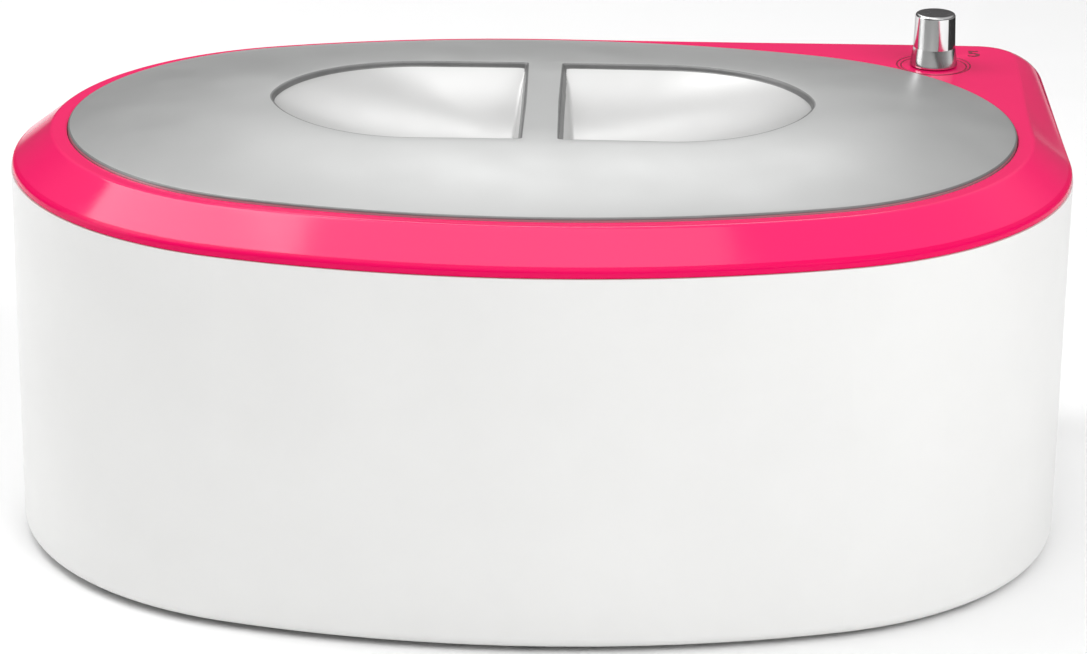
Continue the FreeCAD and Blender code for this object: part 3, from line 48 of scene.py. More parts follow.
# ---------------------------------------------------------------- sizes of the object, millimetres
HALF_WIDTH = 192.5
HALF_DEPTH = 131.0
SIDE_RADIUS = 119.5
CORNER_RADIUS = 25.2
CORNER_LEAN = math.radians(1.2)
SPLIT_HEIGHT = 138.2
DECK_TOP = 152.0
DECK_INSET = 0.4
DECK_WALL = 2.6
BEVEL_RUN = 14.3
BEVEL_DROP = 11.1
CREST_FLAT = 5.7
BAND_INSET = 1.5            # the band's painted shade runs this far inwards, past the edge
SEAT_DEPTH = 3.0
SEAT_DROP = 2.8
SEAT_WIDTH = 8.0
SEAT_LAP = 3.0
LID_GAP = 0.25
LID_LIFT = 0.3
LID_EDGE = 3.9
LID_WALL = 2.2
RIM_LINE = 0.7              # the line of painted shade at the lid's rim, seen from above
RIM_LINE_DROP = 1.6
DOME_RISE = 9.2
DOME_RUN = 75.0
SCOOP_LENGTH = 91.0         # outwards from the bridge
SCOOP_HALF = 47.5           # half its width, along the bridge
SCOOP_RUN = 38.0            # its sides are straight this far, then bend to the tip
SCOOP_TIP = 25.0            # radius of the tip
SCOOP_STEP = 1.8
SCOOP_DEPTH = 19.0
SCOOP_RISE = 25.0           # the bowl is part of an ellipsoid centred this far above its edge
SCOOP_LEAN = 3.4            # the bridge's wall leans out this much down to the bowl's floor
CORNER_FULLNESS = 0.65      # the squared corner's bevel: 0 is straight, 1 a quarter ellipse
CORNER_SHIFT = 3.0          # and its crest is this much further out
BRIDGE_HALF = 6.75
KNOB_X, KNOB_Y = 147.0, 88.6
SHAFT_HOLE = 3.7
DIAL_CIRCLES = ((14.2, 0.0), (12.7, -1.05))     # radius, and shift towards the rear
DIAL_LINE = 0.5
DIGIT_X, DIGIT_Y = 163.4, 104.4
DIGIT_SIZE = 11.0

FRONT_RADIUS = ((HALF_WIDTH ** 2 + HALF_DEPTH ** 2 - 2 * HALF_WIDTH * SIDE_RADIUS)
                / (2 * (HALF_DEPTH - SIDE_RADIUS)))
SIDE_CENTRE = HALF_WIDTH - SIDE_RADIUS
REACH = FRONT_RADIUS - HALF_DEPTH
TURN = math.atan2(REACH, SIDE_CENTRE)
RIM_INSET = DECK_INSET + BEVEL_RUN + CREST_FLAT
LID_INSET = RIM_INSET + LID_GAP
LID_FOOT = DECK_TOP - SEAT_DEPTH + LID_LIFT
LID_TOP = LID_FOOT + LID_EDGE + DOME_RISE
DOME_RADIUS = (DOME_RUN ** 2 + DOME_RISE ** 2) / (2 * DOME_RISE)
SCOOP_REACH = SCOOP_LENGTH - SCOOP_TIP - SCOOP_RUN
SCOOP_BEND = (SCOOP_REACH ** 2 + SCOOP_HALF ** 2 - SCOOP_TIP ** 2) / (2 * (SCOOP_HALF - SCOOP_TIP))

# points along each stretch of the outlines, from the front right round by the rear
BEFORE_STEPS, SIDE_STEPS, CORNER_STEPS, REAR_STEPS = 60, 28, 36, 40
BACK_STEPS, LEFT_STEPS, FRONT_STEPS = 24, 110, 56


# ---------------------------------------------------------------- outlines: anchor points and normals

def arc_line(centre, radius, start, end, steps):
    """Points of an arc without its last one, and their outward normals."""
    angles = np.linspace(start, end, steps, endpoint=False)
    normals = np.column_stack((np.cos(angles), np.sin(angles)))
    return np.array(centre) + radius * normals, normals


def straight_line(start, end, normal, steps):
    """Points of a straight run without its last one, and their outward normal."""
    share = np.linspace(0, 1, steps, endpoint=False)[:, None]
    points = np.array(start) * (1 - share) + np.array(end) * share
    return points, np.repeat(np.array(normal)[None, :], steps, axis=0)


def corner_centre():
    """Centre of the squared corner's arc: where the two leaning runs, moved inwards, cross."""
    rear_normal = np.array((math.sin(CORNER_LEAN), math.cos(CORNER_LEAN)))
    side_normal = np.array((math.cos(CORNER_LEAN), math.sin(CORNER_LEAN)))
    rear = -REACH * math.cos(CORNER_LEAN) + FRONT_RADIUS - CORNER_RADIUS
    side = SIDE_CENTRE * math.cos(CORNER_LEAN) + SIDE_RADIUS - CORNER_RADIUS
    return np.linalg.solve(np.array((rear_normal, side_normal)), np.array((rear, side)))


def oval_corner(shares):
    """The plain oval where the casing has its squared corner, at shares of that stretch."""
    side_length = SIDE_RADIUS * (TURN - CORNER_LEAN)
    rear_length = FRONT_RADIUS * (math.pi / 2 - CORNER_LEAN - TURN)
    along = shares * (side_length + rear_length)
    on_side = along < side_length
    angles = np.where(on_side, CORNER_LEAN + along / SIDE_RADIUS,
                      TURN + (along - side_length) / FRONT_RADIUS)
    normals = np.column_stack((np.cos(angles), np.sin(angles)))
    side = np.array((SIDE_CENTRE, 0)) + SIDE_RADIUS * normals
    rear = np.array((0, -REACH)) + FRONT_RADIUS * normals
    return np.where(on_side[:, None], side, rear), normals


def make_outlines():
    """The casing's outline and the plain oval, point for point, each as (anchors, normals)."""
    quarter = math.pi / 2
    side_normal = np.array((math.cos(CORNER_LEAN), math.sin(CORNER_LEAN)))
    rear_normal = np.array((math.sin(CORNER_LEAN), math.cos(CORNER_LEAN)))
    centre = corner_centre()
    side_end = np.array((SIDE_CENTRE, 0)) + SIDE_RADIUS * side_normal
    rear_start = np.array((0, -REACH)) + FRONT_RADIUS * rear_normal
    corner = [
        straight_line(side_end, centre + CORNER_RADIUS * side_normal, side_normal, SIDE_STEPS),
        arc_line(centre, CORNER_RADIUS, CORNER_LEAN, quarter - CORNER_LEAN, CORNER_STEPS),
        straight_line(centre + CORNER_RADIUS * rear_normal, rear_start, rear_normal, REAR_STEPS)]
    corner_points = np.vstack([part[0] for part in corner])
    closed = np.vstack((corner_points, rear_start))
    steps = np.linalg.norm(np.diff(closed, axis=0), axis=1)
    shares = np.concatenate(((0,), np.cumsum(steps)))[:-1] / steps.sum()
    before = [arc_line((SIDE_CENTRE, 0), SIDE_RADIUS, -TURN, CORNER_LEAN, BEFORE_STEPS)]
    after = [
        arc_line((0, -REACH), FRONT_RADIUS, quarter - CORNER_LEAN, math.pi - TURN, BACK_STEPS),
        arc_line((-SIDE_CENTRE, 0), SIDE_RADIUS, math.pi - TURN, math.pi + TURN, LEFT_STEPS),
        arc_line((0, REACH), FRONT_RADIUS, math.pi + TURN, 2 * math.pi - TURN, FRONT_STEPS)]
    outlines = []
    for middle in (corner, [oval_corner(shares)]):
        parts = before + middle + after
        outlines.append((np.vstack([part[0] for part in parts]),
                         np.vstack([part[1] for part in parts])))
    return outlines


def corner_weight():
    """One along the squared corner's arc, fading to zero along its two straight runs."""
    weight = np.zeros(len(CASING[0]))
    side = BEFORE_STEPS + SIDE_STEPS
    rear = side + CORNER_STEPS
    rising, falling = (np.linspace(0, 1, steps, endpoint=False)
                       for steps in (SIDE_STEPS, REAR_STEPS))
    weight[BEFORE_STEPS:side] = rising ** 2 * (3 - 2 * rising)
    weight[side:rear] = 1
    weight[rear:rear + REAR_STEPS] = 1 - falling ** 2 * (3 - 2 * falling)
    return weight


CASING, OVAL = make_outlines()


def ring(line, inset, height):
    """The 3-D points of an outline moved inwards, at a height; both may differ point by point."""
    anchors, normals = line
    inset, height = (np.broadcast_to(value, len(anchors)) for value in (inset, height))
    return np.column_stack((anchors - inset[:, None] * normals, height))


# ---------------------------------------------------------------- mesh building

def add_mesh(name, points, faces, marks=None):
    """A smooth mesh object from points in millimetres; marks number each face's material."""
    data = bpy.data.meshes.new(name)
    data.from_pydata((np.asarray(points) * MM).tolist(), [], faces)
    if marks is not None:
        data.polygons.foreach_set("material_index", marks)
    work = bmesh.new()
    work.from_mesh(data)
    bmesh.ops.remove_doubles(work, verts=work.verts, dist=2e-6)
    bmesh.ops.recalc_face_normals(work, faces=work.faces)
    work.to_mesh(data)
    work.free()
    data.polygons.foreach_set("use_smooth", [True] * len(data.polygons))
    piece = bpy.data.objects.new(name, data)
    bpy.context.scene.collection.objects.link(piece)
    return piece


def grid_faces(rows, columns, closed_rows, closed_columns, first=0):
    """Quads of a grid of points stored row by row."""
    faces = []
    for row in range(rows if closed_rows else rows - 1):
        for column in range(columns if closed_columns else columns - 1):
            next_row, next_column = (row + 1) % rows, (column + 1) % columns
            faces.append((first + row * columns + column, first + row * columns + next_column,
                          first + next_row * columns + next_column,
                          first + next_row * columns + column))
    return faces


def rounded_section(corners, closed, steps=5):
    """Corners (line, inset, height, radius) with each one replaced by an arc of its radius."""
    section = []
    count = len(corners)
    for index, (line, inset, height, radius) in enumerate(corners):
        here = np.array((inset, height), float)
        ends_open = not closed and index in (0, count - 1)
        if radius == 0 or ends_open:
            section.append((line, inset, height))
            continue
        before = np.array(corners[index - 1][1:3], float) - here
        after = np.array(corners[(index + 1) % count][1:3], float) - here
        before /= np.linalg.norm(before)
        after /= np.linalg.norm(after)
        half = math.acos(max(-1, min(1, before @ after))) / 2
        reach = radius / math.tan(half)
        bisector = (before + after) / np.linalg.norm(before + after)
        centre = here + bisector * radius / math.sin(half)
        start, end = here + before * reach, here + after * reach
        first = math.atan2(*(start - centre)[::-1])
        turn = math.atan2(*(end - centre)[::-1]) - first
        turn = (turn + math.pi) % (2 * math.pi) - math.pi
        for step in range(steps + 1):
            angle = first + turn * step / steps
            section.append((line, centre[0] + radius * math.cos(angle),
                            centre[1] + radius * math.sin(angle)))
    return section


def loft(section):
    """The points of every station of a section, ring after ring."""
    return np.vstack([ring(*station) for station in section])


def weight_normals(piece):
    """Keep broad flats flat where they meet small rounds."""
    modifier = piece.modifiers.new("weighted", "WEIGHTED_NORMAL")
    modifier.weight = 60
    modifier.keep_sharp = True


# ---------------------------------------------------------------- cover

def make_cover():
    """The bevelled cover as one closed skin, with the hole for the thermostat's shaft."""
    slope = np.array((BEVEL_RUN, BEVEL_DROP)) / math.hypot(BEVEL_RUN, BEVEL_DROP)
    band_top = DECK_TOP - BEVEL_DROP
    inner_start = np.array((DECK_INSET, band_top)) + DECK_WALL * np.array((slope[1], -slope[0]))
    inner_band = DECK_INSET + DECK_WALL
    under = DECK_TOP - DECK_WALL
    seat_top = DECK_TOP - SEAT_DEPTH
    seat_under = seat_top - SEAT_DROP

    def inner_bevel(inset=None, height=None):
        share = ((inset - inner_start[0]) / slope[0] if height is None
                 else (height - inner_start[1]) / slope[1])
        return tuple(inner_start + share * slope)

    foot = inner_bevel(inset=inner_band)
    head = inner_bevel(height=under)
    corners = [
        (CASING, inner_band, SPLIT_HEIGHT, 0.3),
        (CASING, DECK_INSET, SPLIT_HEIGHT, 0.8),
        (CASING, DECK_INSET, band_top, 1.6),
        (CASING, DECK_INSET + BEVEL_RUN, DECK_TOP, 2.6),
        (OVAL, RIM_INSET, DECK_TOP, 0.55),
        (OVAL, RIM_INSET, seat_top, 0.4),
        (OVAL, RIM_INSET + SEAT_WIDTH, seat_top, 0.7),
        (OVAL, RIM_INSET + SEAT_WIDTH, seat_under, 0.4),
        (OVAL, RIM_INSET - SEAT_LAP, seat_under, 0.3),
        (OVAL, RIM_INSET - SEAT_LAP, under, 0.5),
        (CASING, head[0], head[1], 0.8),
        (CASING, foot[0], foot[1], 0.8)]
    section = fill_corner(add_bevel_stations(rounded_section(corners, closed=True), band_top))
    points = loft(section)
    faces = grid_faces(len(section), len(CASING[0]), True, True)
    cover = add_mesh("cover_skin", points, faces)
    hole = make_tube_cutter("shaft_cutter", (KNOB_X, KNOB_Y), SHAFT_HOLE,
                            under - 3, DECK_TOP + 3)
    cut_out(cover, hole)
    mark_band(cover)
    weight_normals(cover)
    return cover


def mark_band(cover):
    """Give the band round the cover's foot the cover's second material: a deeper pink that is painted
    shade.
    """
    anchors, normals = CASING
    for polygon in cover.data.polygons:
        place = np.array(polygon.center[:2]) / MM
        nearest = np.linalg.norm(anchors - place, axis=1).argmin()
        inset = (anchors[nearest] - place) @ normals[nearest]
        faces_out = np.array(polygon.normal[:2]) @ normals[nearest] > 0.3
        if faces_out and inset < DECK_INSET + BAND_INSET:
            polygon.material_index = 1


def add_bevel_stations(section, band_top):
    """More stations on the outer bevel, between the rounded ends of its flat."""
    outside = [index for index, (_, inset, height) in enumerate(section)
               if height >= band_top - 2 and inset <= DECK_INSET + BEVEL_RUN + 2]
    gaps = [section[index + 1][1] - section[index][1] for index in outside[:-1]]
    first = outside[gaps.index(max(gaps))]
    (line, low_inset, low), (_, high_inset, high) = section[first:first + 2]
    shares = (0.03, 0.07, 0.12, 0.18, 0.25, 0.33, 0.42, 0.52, 0.63, 0.75, 0.87)
    extra = [(line, low_inset + share * (high_inset - low_inset), low + share * (high - low))
             for share in shares]
    return section[:first + 1] + extra + section[first + 1:]


def fill_corner(section):
    """Round the outer bevel out to a fuller curve in the squared corner."""
    weight = corner_weight()
    filled = []
    for line, inset, height in section:
        share = min(1, max(0, (inset - DECK_INSET) / BEVEL_RUN))
        chamfer = DECK_TOP - BEVEL_DROP * (1 - share)
        if line is CASING and height > chamfer - 1.0:
            rise = BEVEL_DROP * (math.sqrt(1 - (1 - share) ** 2) - share)
            filled.append((line, inset - CORNER_SHIFT * share * weight,
                           height + CORNER_FULLNESS * rise * weight))
        else:
            filled.append((line, inset, height))
    return filled


def make_tube_cutter(name, centre, radius, low, high, sides=48):
    """A closed upright cylinder to cut a round hole with."""
    angles = np.linspace(0, 2 * math.pi, sides, endpoint=False)
    plan = np.column_stack((centre[0] + radius * np.cos(angles),
                            centre[1] + radius * np.sin(angles)))
    points = np.vstack([np.column_stack((plan, np.full(sides, height)))
                        for height in (low, high)])
    faces = grid_faces(2, sides, False, True)
    faces.append(tuple(range(sides))[::-1])
    faces.append(tuple(range(sides, 2 * sides)))
    return add_mesh(name, points, faces)


def cut_out(piece, cutter):
    """Take the cutter's shape away from the piece for good."""
    modifier = piece.modifiers.new("cut", "BOOLEAN")
    modifier.operation = "DIFFERENCE"
    modifier.solver = "EXACT"
    modifier.object = cutter
    graph = bpy.context.evaluated_depsgraph_get()
    result = bpy.data.meshes.new_from_object(piece.evaluated_get(graph))
    piece.modifiers.clear()
    old, piece.data = piece.data, result
    bpy.data.meshes.remove(old)
    bpy.data.objects.remove(cutter)


# ---------------------------------------------------------------- lid

def rim_distance(x, y):
    """How far inside the lid's rim a place is, seen from above."""
    x, y = np.abs(x), np.abs(y)
    by_front = FRONT_RADIUS - LID_INSET - np.hypot(x, y + REACH)
    by_side = SIDE_RADIUS - LID_INSET - np.hypot(x - SIDE_CENTRE, y)
    return np.where(np.arctan2(y + REACH, x) > TURN, by_front, by_side)


def dome_height(x, y, skin=0.0):
    """Height of the domed top, or of the dome's underside for the wall's thickness."""
    inwards = np.clip(rim_distance(x, y), 0, DOME_RUN)
    radius = DOME_RADIUS - skin
    return LID_TOP - DOME_RADIUS + np.sqrt(radius ** 2 - (DOME_RUN - inwards) ** 2)


def smooth_max(first, second, blend):
    """The larger of two values, with the corner between them rounded."""
    blend = np.maximum(blend, 1e-6)
    overlap = np.maximum(blend - np.abs(first - second), 0)
    return np.maximum(first, second) + overlap ** 2 / (4 * blend)


class Scoop:
    """One finger scoop beside the bridge; a skin makes it the outside of the bowl's wall."""

    STEEP = 12.0        # the upright step drops this much for each millimetre inwards
    CORNER = 16.0       # rounding of the outline where it meets the bridge
    FLOOR_BLEND = 2.2   # rounding between the walls and the bowl
    MIDDLE = 34.0       # the spokes of the mesh meet this far from the bridge
    LINE = 1.1          # the line of painted shade reaches this far down the step
    BRIDGE_LINE = 1.3   # and this far across, along the bridge
    LINE_ROWS = 6       # rows of faces down the dark line
    ROUND_ROWS = 6      # and over the rounding of the edge

    def __init__(self, side, skin, edge_round, spokes, rings):
        self.side, self.skin, self.edge_round, self.rings = side, skin, edge_round, rings
        self.angles = self.spread_angles(spokes)
        self.make_spokes()

    def lie(self, across, y):
        """Place on the lid of a point given across from the bridge."""
        return self.side * (BRIDGE_HALF - self.skin + across), y

    def gauge(self, across, y):
        """How far out a point lies, as a share of the outline's own distance that way."""
        across, y = across - self.skin, np.abs(y)
        distance = np.maximum(np.hypot(across, y), 1e-9)
        cos, sin = across / distance, y / distance
        to_run = (SCOOP_HALF + self.skin) / np.maximum(sin, 1e-9)

        def to_arc(centre_x, centre_y, radius):
            near = cos * centre_x + sin * centre_y
            return near + np.sqrt(np.maximum(
                near ** 2 - centre_x ** 2 - centre_y ** 2 + radius ** 2, 0))

        to_side = to_arc(SCOOP_RUN, SCOOP_HALF - SCOOP_BEND, SCOOP_BEND + self.skin)
        to_tip = to_arc(SCOOP_LENGTH - SCOOP_TIP, 0, SCOOP_TIP + self.skin)
        past_side = np.arctan2(to_side * sin + SCOOP_BEND - SCOOP_HALF, to_side * cos - SCOOP_RUN)
        turn = math.atan2(SCOOP_BEND - SCOOP_HALF, SCOOP_REACH)
        edge = np.where(to_run * cos < SCOOP_RUN, to_run,
                        np.where(past_side > turn, to_side, to_tip))
        return distance / edge

    def wall_height(self, across, y):
        """Height of the walls above the lid's top: zero on the outline, less inside it."""
        step = self.STEEP * (self.gauge(across, y) - 1) * SCOOP_HALF
        bridge = -across * (SCOOP_DEPTH - SCOOP_STEP) / SCOOP_LEAN
        return smooth_max(step, bridge, self.CORNER)

    def edge_distance(self, angles):
        """Length of each spoke, by halving: where the walls come up to the lid's top."""
        low, high = np.zeros_like(angles), np.full_like(angles, SCOOP_LENGTH)
        for _ in range(40):
            middle = (low + high) / 2
            inside = self.wall_height(self.MIDDLE + middle * np.cos(angles),
                                      middle * np.sin(angles)) < 0
            low, high = np.where(inside, middle, low), np.where(inside, high, middle)
        return (low + high) / 2

    def spread_angles(self, spokes):
        """Spoke angles that lie closer together where the outline bends more."""
        angles = np.linspace(-math.pi, math.pi, 6001)
        distance = self.edge_distance(angles)
        points = np.column_stack((distance * np.cos(angles), distance * np.sin(angles)))
        steps = np.diff(points, axis=0)
        length = np.linalg.norm(steps, axis=1)
        heading = np.unwrap(np.arctan2(steps[:, 1], steps[:, 0]))
        bend = np.abs(np.gradient(heading))
        weight = length + 9 * np.convolve(bend, np.ones(41) / 41, "same")
        total = np.concatenate(((0,), np.cumsum(weight)))
        return np.interp(np.linspace(0, total[-1], spokes, endpoint=False), total, angles)

    def bowl_height(self, across, y, inwards):
        """Height inside the scoop at a place that lies so far inwards from its edge."""
        radius = SCOOP_DEPTH - SCOOP_STEP + SCOOP_RISE
        share = np.minimum(self.gauge(across, y), 1.2)
        drop = np.sqrt(radius ** 2 - (radius ** 2 - SCOOP_RISE ** 2) * share ** 2) - SCOOP_RISE
        bowl = LID_TOP - SCOOP_STEP - self.skin - drop
        wall = dome_height(*self.lie(across, y), self.skin) + self.wall_height(across, y)
        return smooth_max(bowl, wall, np.minimum(self.FLOOR_BLEND, 3 * inwards))

    def make_spokes(self):
        """Points along each spoke, from just outside the rounded edge to the meeting point."""
        cos, sin = np.cos(self.angles), np.sin(self.angles)
        distance = self.edge_distance(self.angles)

        def plan(radius):
            return self.MIDDLE + radius * cos, radius * sin

        def on_dome(radius):
            x, y = self.lie(*plan(radius))
            return np.column_stack((x, y, dome_height(x, y, self.skin)))

        outside, edge = on_dome(distance + self.edge_round), on_dome(distance)
        profile = [edge]
        for share in (np.linspace(0, 1, 500) ** 3)[1:]:
            across, y = plan(distance * (1 - share))
            height = self.bowl_height(across, y, distance * share)
            profile.append(np.column_stack((*self.lie(across, y), height)))
        inside = self.spread_rows(np.array(profile))
        curve = []
        for share in np.linspace(0, 1, self.ROUND_ROWS, endpoint=False):
            curve.append((1 - share) ** 2 * outside + 2 * share * (1 - share) * edge
                         + share ** 2 * inside[0])
        self.rows = np.concatenate((np.array(curve), inside))
        self.loop = outside
        # the edge's rounding, the top of the step and the wall beside the bridge take painted shade
        self.dark = self.side * self.rows[:, :, 0] - BRIDGE_HALF < self.BRIDGE_LINE
        self.dark[:self.ROUND_ROWS + self.LINE_ROWS + 1] = True

    def spread_rows(self, profile):
        """Rows of points down the scoop: evenly over the dark line, then wider and wider."""
        lengths = np.linalg.norm(np.diff(profile, axis=0), axis=2)
        travelled = np.vstack((np.zeros(lengths.shape[1]), np.cumsum(lengths, axis=0)))
        line = np.linspace(self.edge_round, self.edge_round + self.LINE, self.LINE_ROWS + 1)
        spread = np.linspace(0, 1, self.rings - self.LINE_ROWS)[1:] ** 1.35
        rows = np.empty((self.rings, lengths.shape[1], 3))
        for spoke, along in enumerate(travelled.T):
            wanted = np.append(line, line[-1] + spread * (along[-1] - line[-1]))
            for axis in range(3):
                rows[:, spoke, axis] = np.interp(wanted, along, profile[:, spoke, axis])
        return rows

    def skin_mesh(self, first):
        """Points, faces numbered from first, and marks; the last ring is one point."""
        count = self.rows.shape[1]
        rings = self.rows[:-1]
        centre = self.rows[-1].mean(axis=0)
        points = np.vstack((rings.reshape(-1, 3), centre))
        faces = grid_faces(len(rings), count, False, True, first)
        last, tip = first + (len(rings) - 1) * count, first + len(points) - 1
        faces += [(last + spoke, last + (spoke + 1) % count, tip) for spoke in range(count)]
        dark = np.append(self.dark[:-1].ravel(), False)
        # mark 1 is the painted shade on the step, mark 2 the bowl's lighter paint, which is painted
        # light
        marks = [1 if all(dark[corner - first] for corner in face) else 2 for face in faces]
        return points, faces, marks


def inside_loop(points, loop):
    """Whether each plan point lies inside a closed loop."""
    result = np.zeros(len(points), bool)
    following = np.roll(loop, -1, axis=0)
    for (x1, y1), (x2, y2) in zip(loop, following):
        crosses = (y1 > points[:, 1]) != (y2 > points[:, 1])
        with np.errstate(divide="ignore", invalid="ignore"):
            at = (x2 - x1) * (points[:, 1] - y1) / (y2 - y1) + x1
        result ^= crosses & (points[:, 0] < at)
    return result


def lid_field(boundary, loops, skin, pitch):
    """Triangles of the dome between its rim and the two scoops."""
    half_x, half_y = np.abs(boundary).max(axis=0)
    edge_inset = rim_distance(boundary[:, 0], boundary[:, 1]).mean()
    spots = []
    for row, y in enumerate(np.arange(-half_y, half_y, pitch * 0.866)):
        shift = pitch / 2 if row % 2 else 0
        spots += [(x + shift, y) for x in np.arange(-half_x, half_x, pitch)]
    spots = np.array(spots)
    spots = spots[rim_distance(spots[:, 0], spots[:, 1]) > edge_inset + pitch / 2]
    for loop in loops:
        spots = spots[~inside_loop(spots, loop)]
        gap = np.linalg.norm(spots[:, None, :] - loop[None, :, :], axis=2).min(axis=1)
        spots = spots[gap > pitch / 2]
    plan = np.vstack([boundary] + loops + [spots])
    edges, first = [], 0
    for line in [boundary] + loops:
        count = len(line)
        edges += [(first + index, first + (index + 1) % count) for index in range(count)]
        first += count
    result = delaunay_2d_cdt([Vector(p) for p in plan.tolist()], edges, [], 0, 1e-6)
    verts = np.array([tuple(v) for v in result[0]])
    faces = np.array(result[2])
    centres = verts[faces].mean(axis=1)
    keep = inside_loop(centres, boundary)
    for loop in loops:
        keep &= ~inside_loop(centres, loop)
    points = np.column_stack((verts, dome_height(verts[:, 0], verts[:, 1], skin)))
    return points, [tuple(face) for face in faces[keep].tolist()]


def make_lid():
    """The domed lid: rim, top skin with two scoops, and the underside a wall's thickness below."""
    rim_top = float(dome_height(np.array(HALF_WIDTH), np.array(0.0)))
    start, under_start = 3.0, LID_WALL + 3.0
    # wall, inset where the skin starts, scoop edge's rounding, spokes, rings, triangles' size
    skins = ((0.0, start, 1.0, 260, 56, 4.0), (LID_WALL, under_start, 1.2, 140, 30, 7.0))

    def dome_at(inwards, skin):
        radius = DOME_RADIUS - skin
        return LID_TOP - DOME_RADIUS + math.sqrt(radius ** 2 - (DOME_RUN - inwards) ** 2)

    corners = [
        (OVAL, LID_INSET + start, dome_at(start, 0), 0),
        (OVAL, LID_INSET + 2.0, dome_at(2.0, 0), 0),
        (OVAL, LID_INSET, rim_top, 0.9),
        (OVAL, LID_INSET, LID_FOOT, 0.35),
        (OVAL, LID_INSET + LID_WALL, LID_FOOT, 0.35),
        (OVAL, LID_INSET + LID_WALL, dome_at(LID_WALL, LID_WALL), 1.2),
        (OVAL, LID_INSET + under_start, dome_at(under_start, LID_WALL), 0)]
    section = rounded_section(corners, closed=False)
    points = [loft(section)]
    faces = grid_faces(len(section), len(OVAL[0]), False, True)
    first = len(points[0])
    marks = [0] * len(faces)
    for skin, inset, edge_round, spokes, rings, pitch in skins:
        scoops = [Scoop(side, skin, edge_round, spokes, rings) for side in (1, -1)]
        for scoop in scoops:
            some, more, dark = scoop.skin_mesh(first)
            points.append(some)
            faces += more
            marks += dark
            first += len(some)
        boundary = ring(OVAL, LID_INSET + inset, 0)[:, :2]
        field, triangles = lid_field(boundary, [scoop.loop[:, :2] for scoop in scoops],
                                     skin, pitch)
        faces += [tuple(first + corner for corner in face) for face in triangles]
        marks += [0] * len(triangles)
        points.append(field)
        first += len(field)
    lid = add_mesh("lid_skin", np.vstack(points), faces, marks)
    mark_rim(lid)
    return lid


def mark_rim(lid):
    """Give the rounded edge of the lid's rim the lid's second material, painted shade, as on the
    steps.
    """
    for polygon in lid.data.polygons:
        x, y, z = np.array(polygon.center) / MM
        if rim_distance(x, y) < RIM_LINE and z > LID_FOOT + LID_EDGE - RIM_LINE_DROP:
            polygon.material_index = 1


# ---------------------------------------------------------------- dial print

def make_print(name, shapes, height):
    """A thin raised print from closed outer and inner plan loops of the same count."""
    points, faces = [], []
    for outer, inner in shapes:
        first, count = len(points), len(outer)
        for plan, z in ((outer, DECK_TOP - 0.01), (outer, height), (inner, height),
                        (inner, DECK_TOP - 0.01)):
            points += [(x, y, z) for x, y in plan]
        faces += grid_faces(4, count, True, True, first)
    return add_mesh(name, points, faces)


def circle(centre, radius, count=160):
    """Plan points of a circle."""
    angles = np.linspace(0, 2 * math.pi, count, endpoint=False)
    return [(centre[0] + radius * math.cos(a), centre[1] + radius * math.sin(a)) for a in angles]


def make_dial_lines():
    """Two thin circles round the knob that draw close together at the front."""
    shapes = []
    for radius, shift in DIAL_CIRCLES:
        centre = (KNOB_X, KNOB_Y + shift)
        shapes.append((circle(centre, radius), circle(centre, radius - DIAL_LINE)))
    return make_print("dial_lines", shapes, DECK_TOP + 0.04)


def make_dial_number():
    """A plain number on the cover, behind and to the right of the knob."""
    curve = bpy.data.curves.new("dial_number", "FONT")
    curve.body = "5"
    curve.size = DIGIT_SIZE * MM
    curve.extrude = 0.03 * MM
    curve.offset = 0.22 * MM
    curve.align_x, curve.align_y = "CENTER", "CENTER"
    piece = bpy.data.objects.new("dial_number_curve", curve)
    bpy.context.scene.collection.objects.link(piece)
    piece.location = (DIGIT_X * MM, DIGIT_Y * MM, (DECK_TOP + 0.02) * MM)
    bpy.context.view_layer.update()
    graph = bpy.context.evaluated_depsgraph_get()
    data = bpy.data.meshes.new_from_object(piece.evaluated_get(graph))
    data.transform(piece.matrix_world)
    bpy.data.objects.remove(piece)
    digit = bpy.data.objects.new("dial_number", data)
    bpy.context.scene.collection.objects.link(digit)
    return digit


# ---------------------------------------------------------------- materials

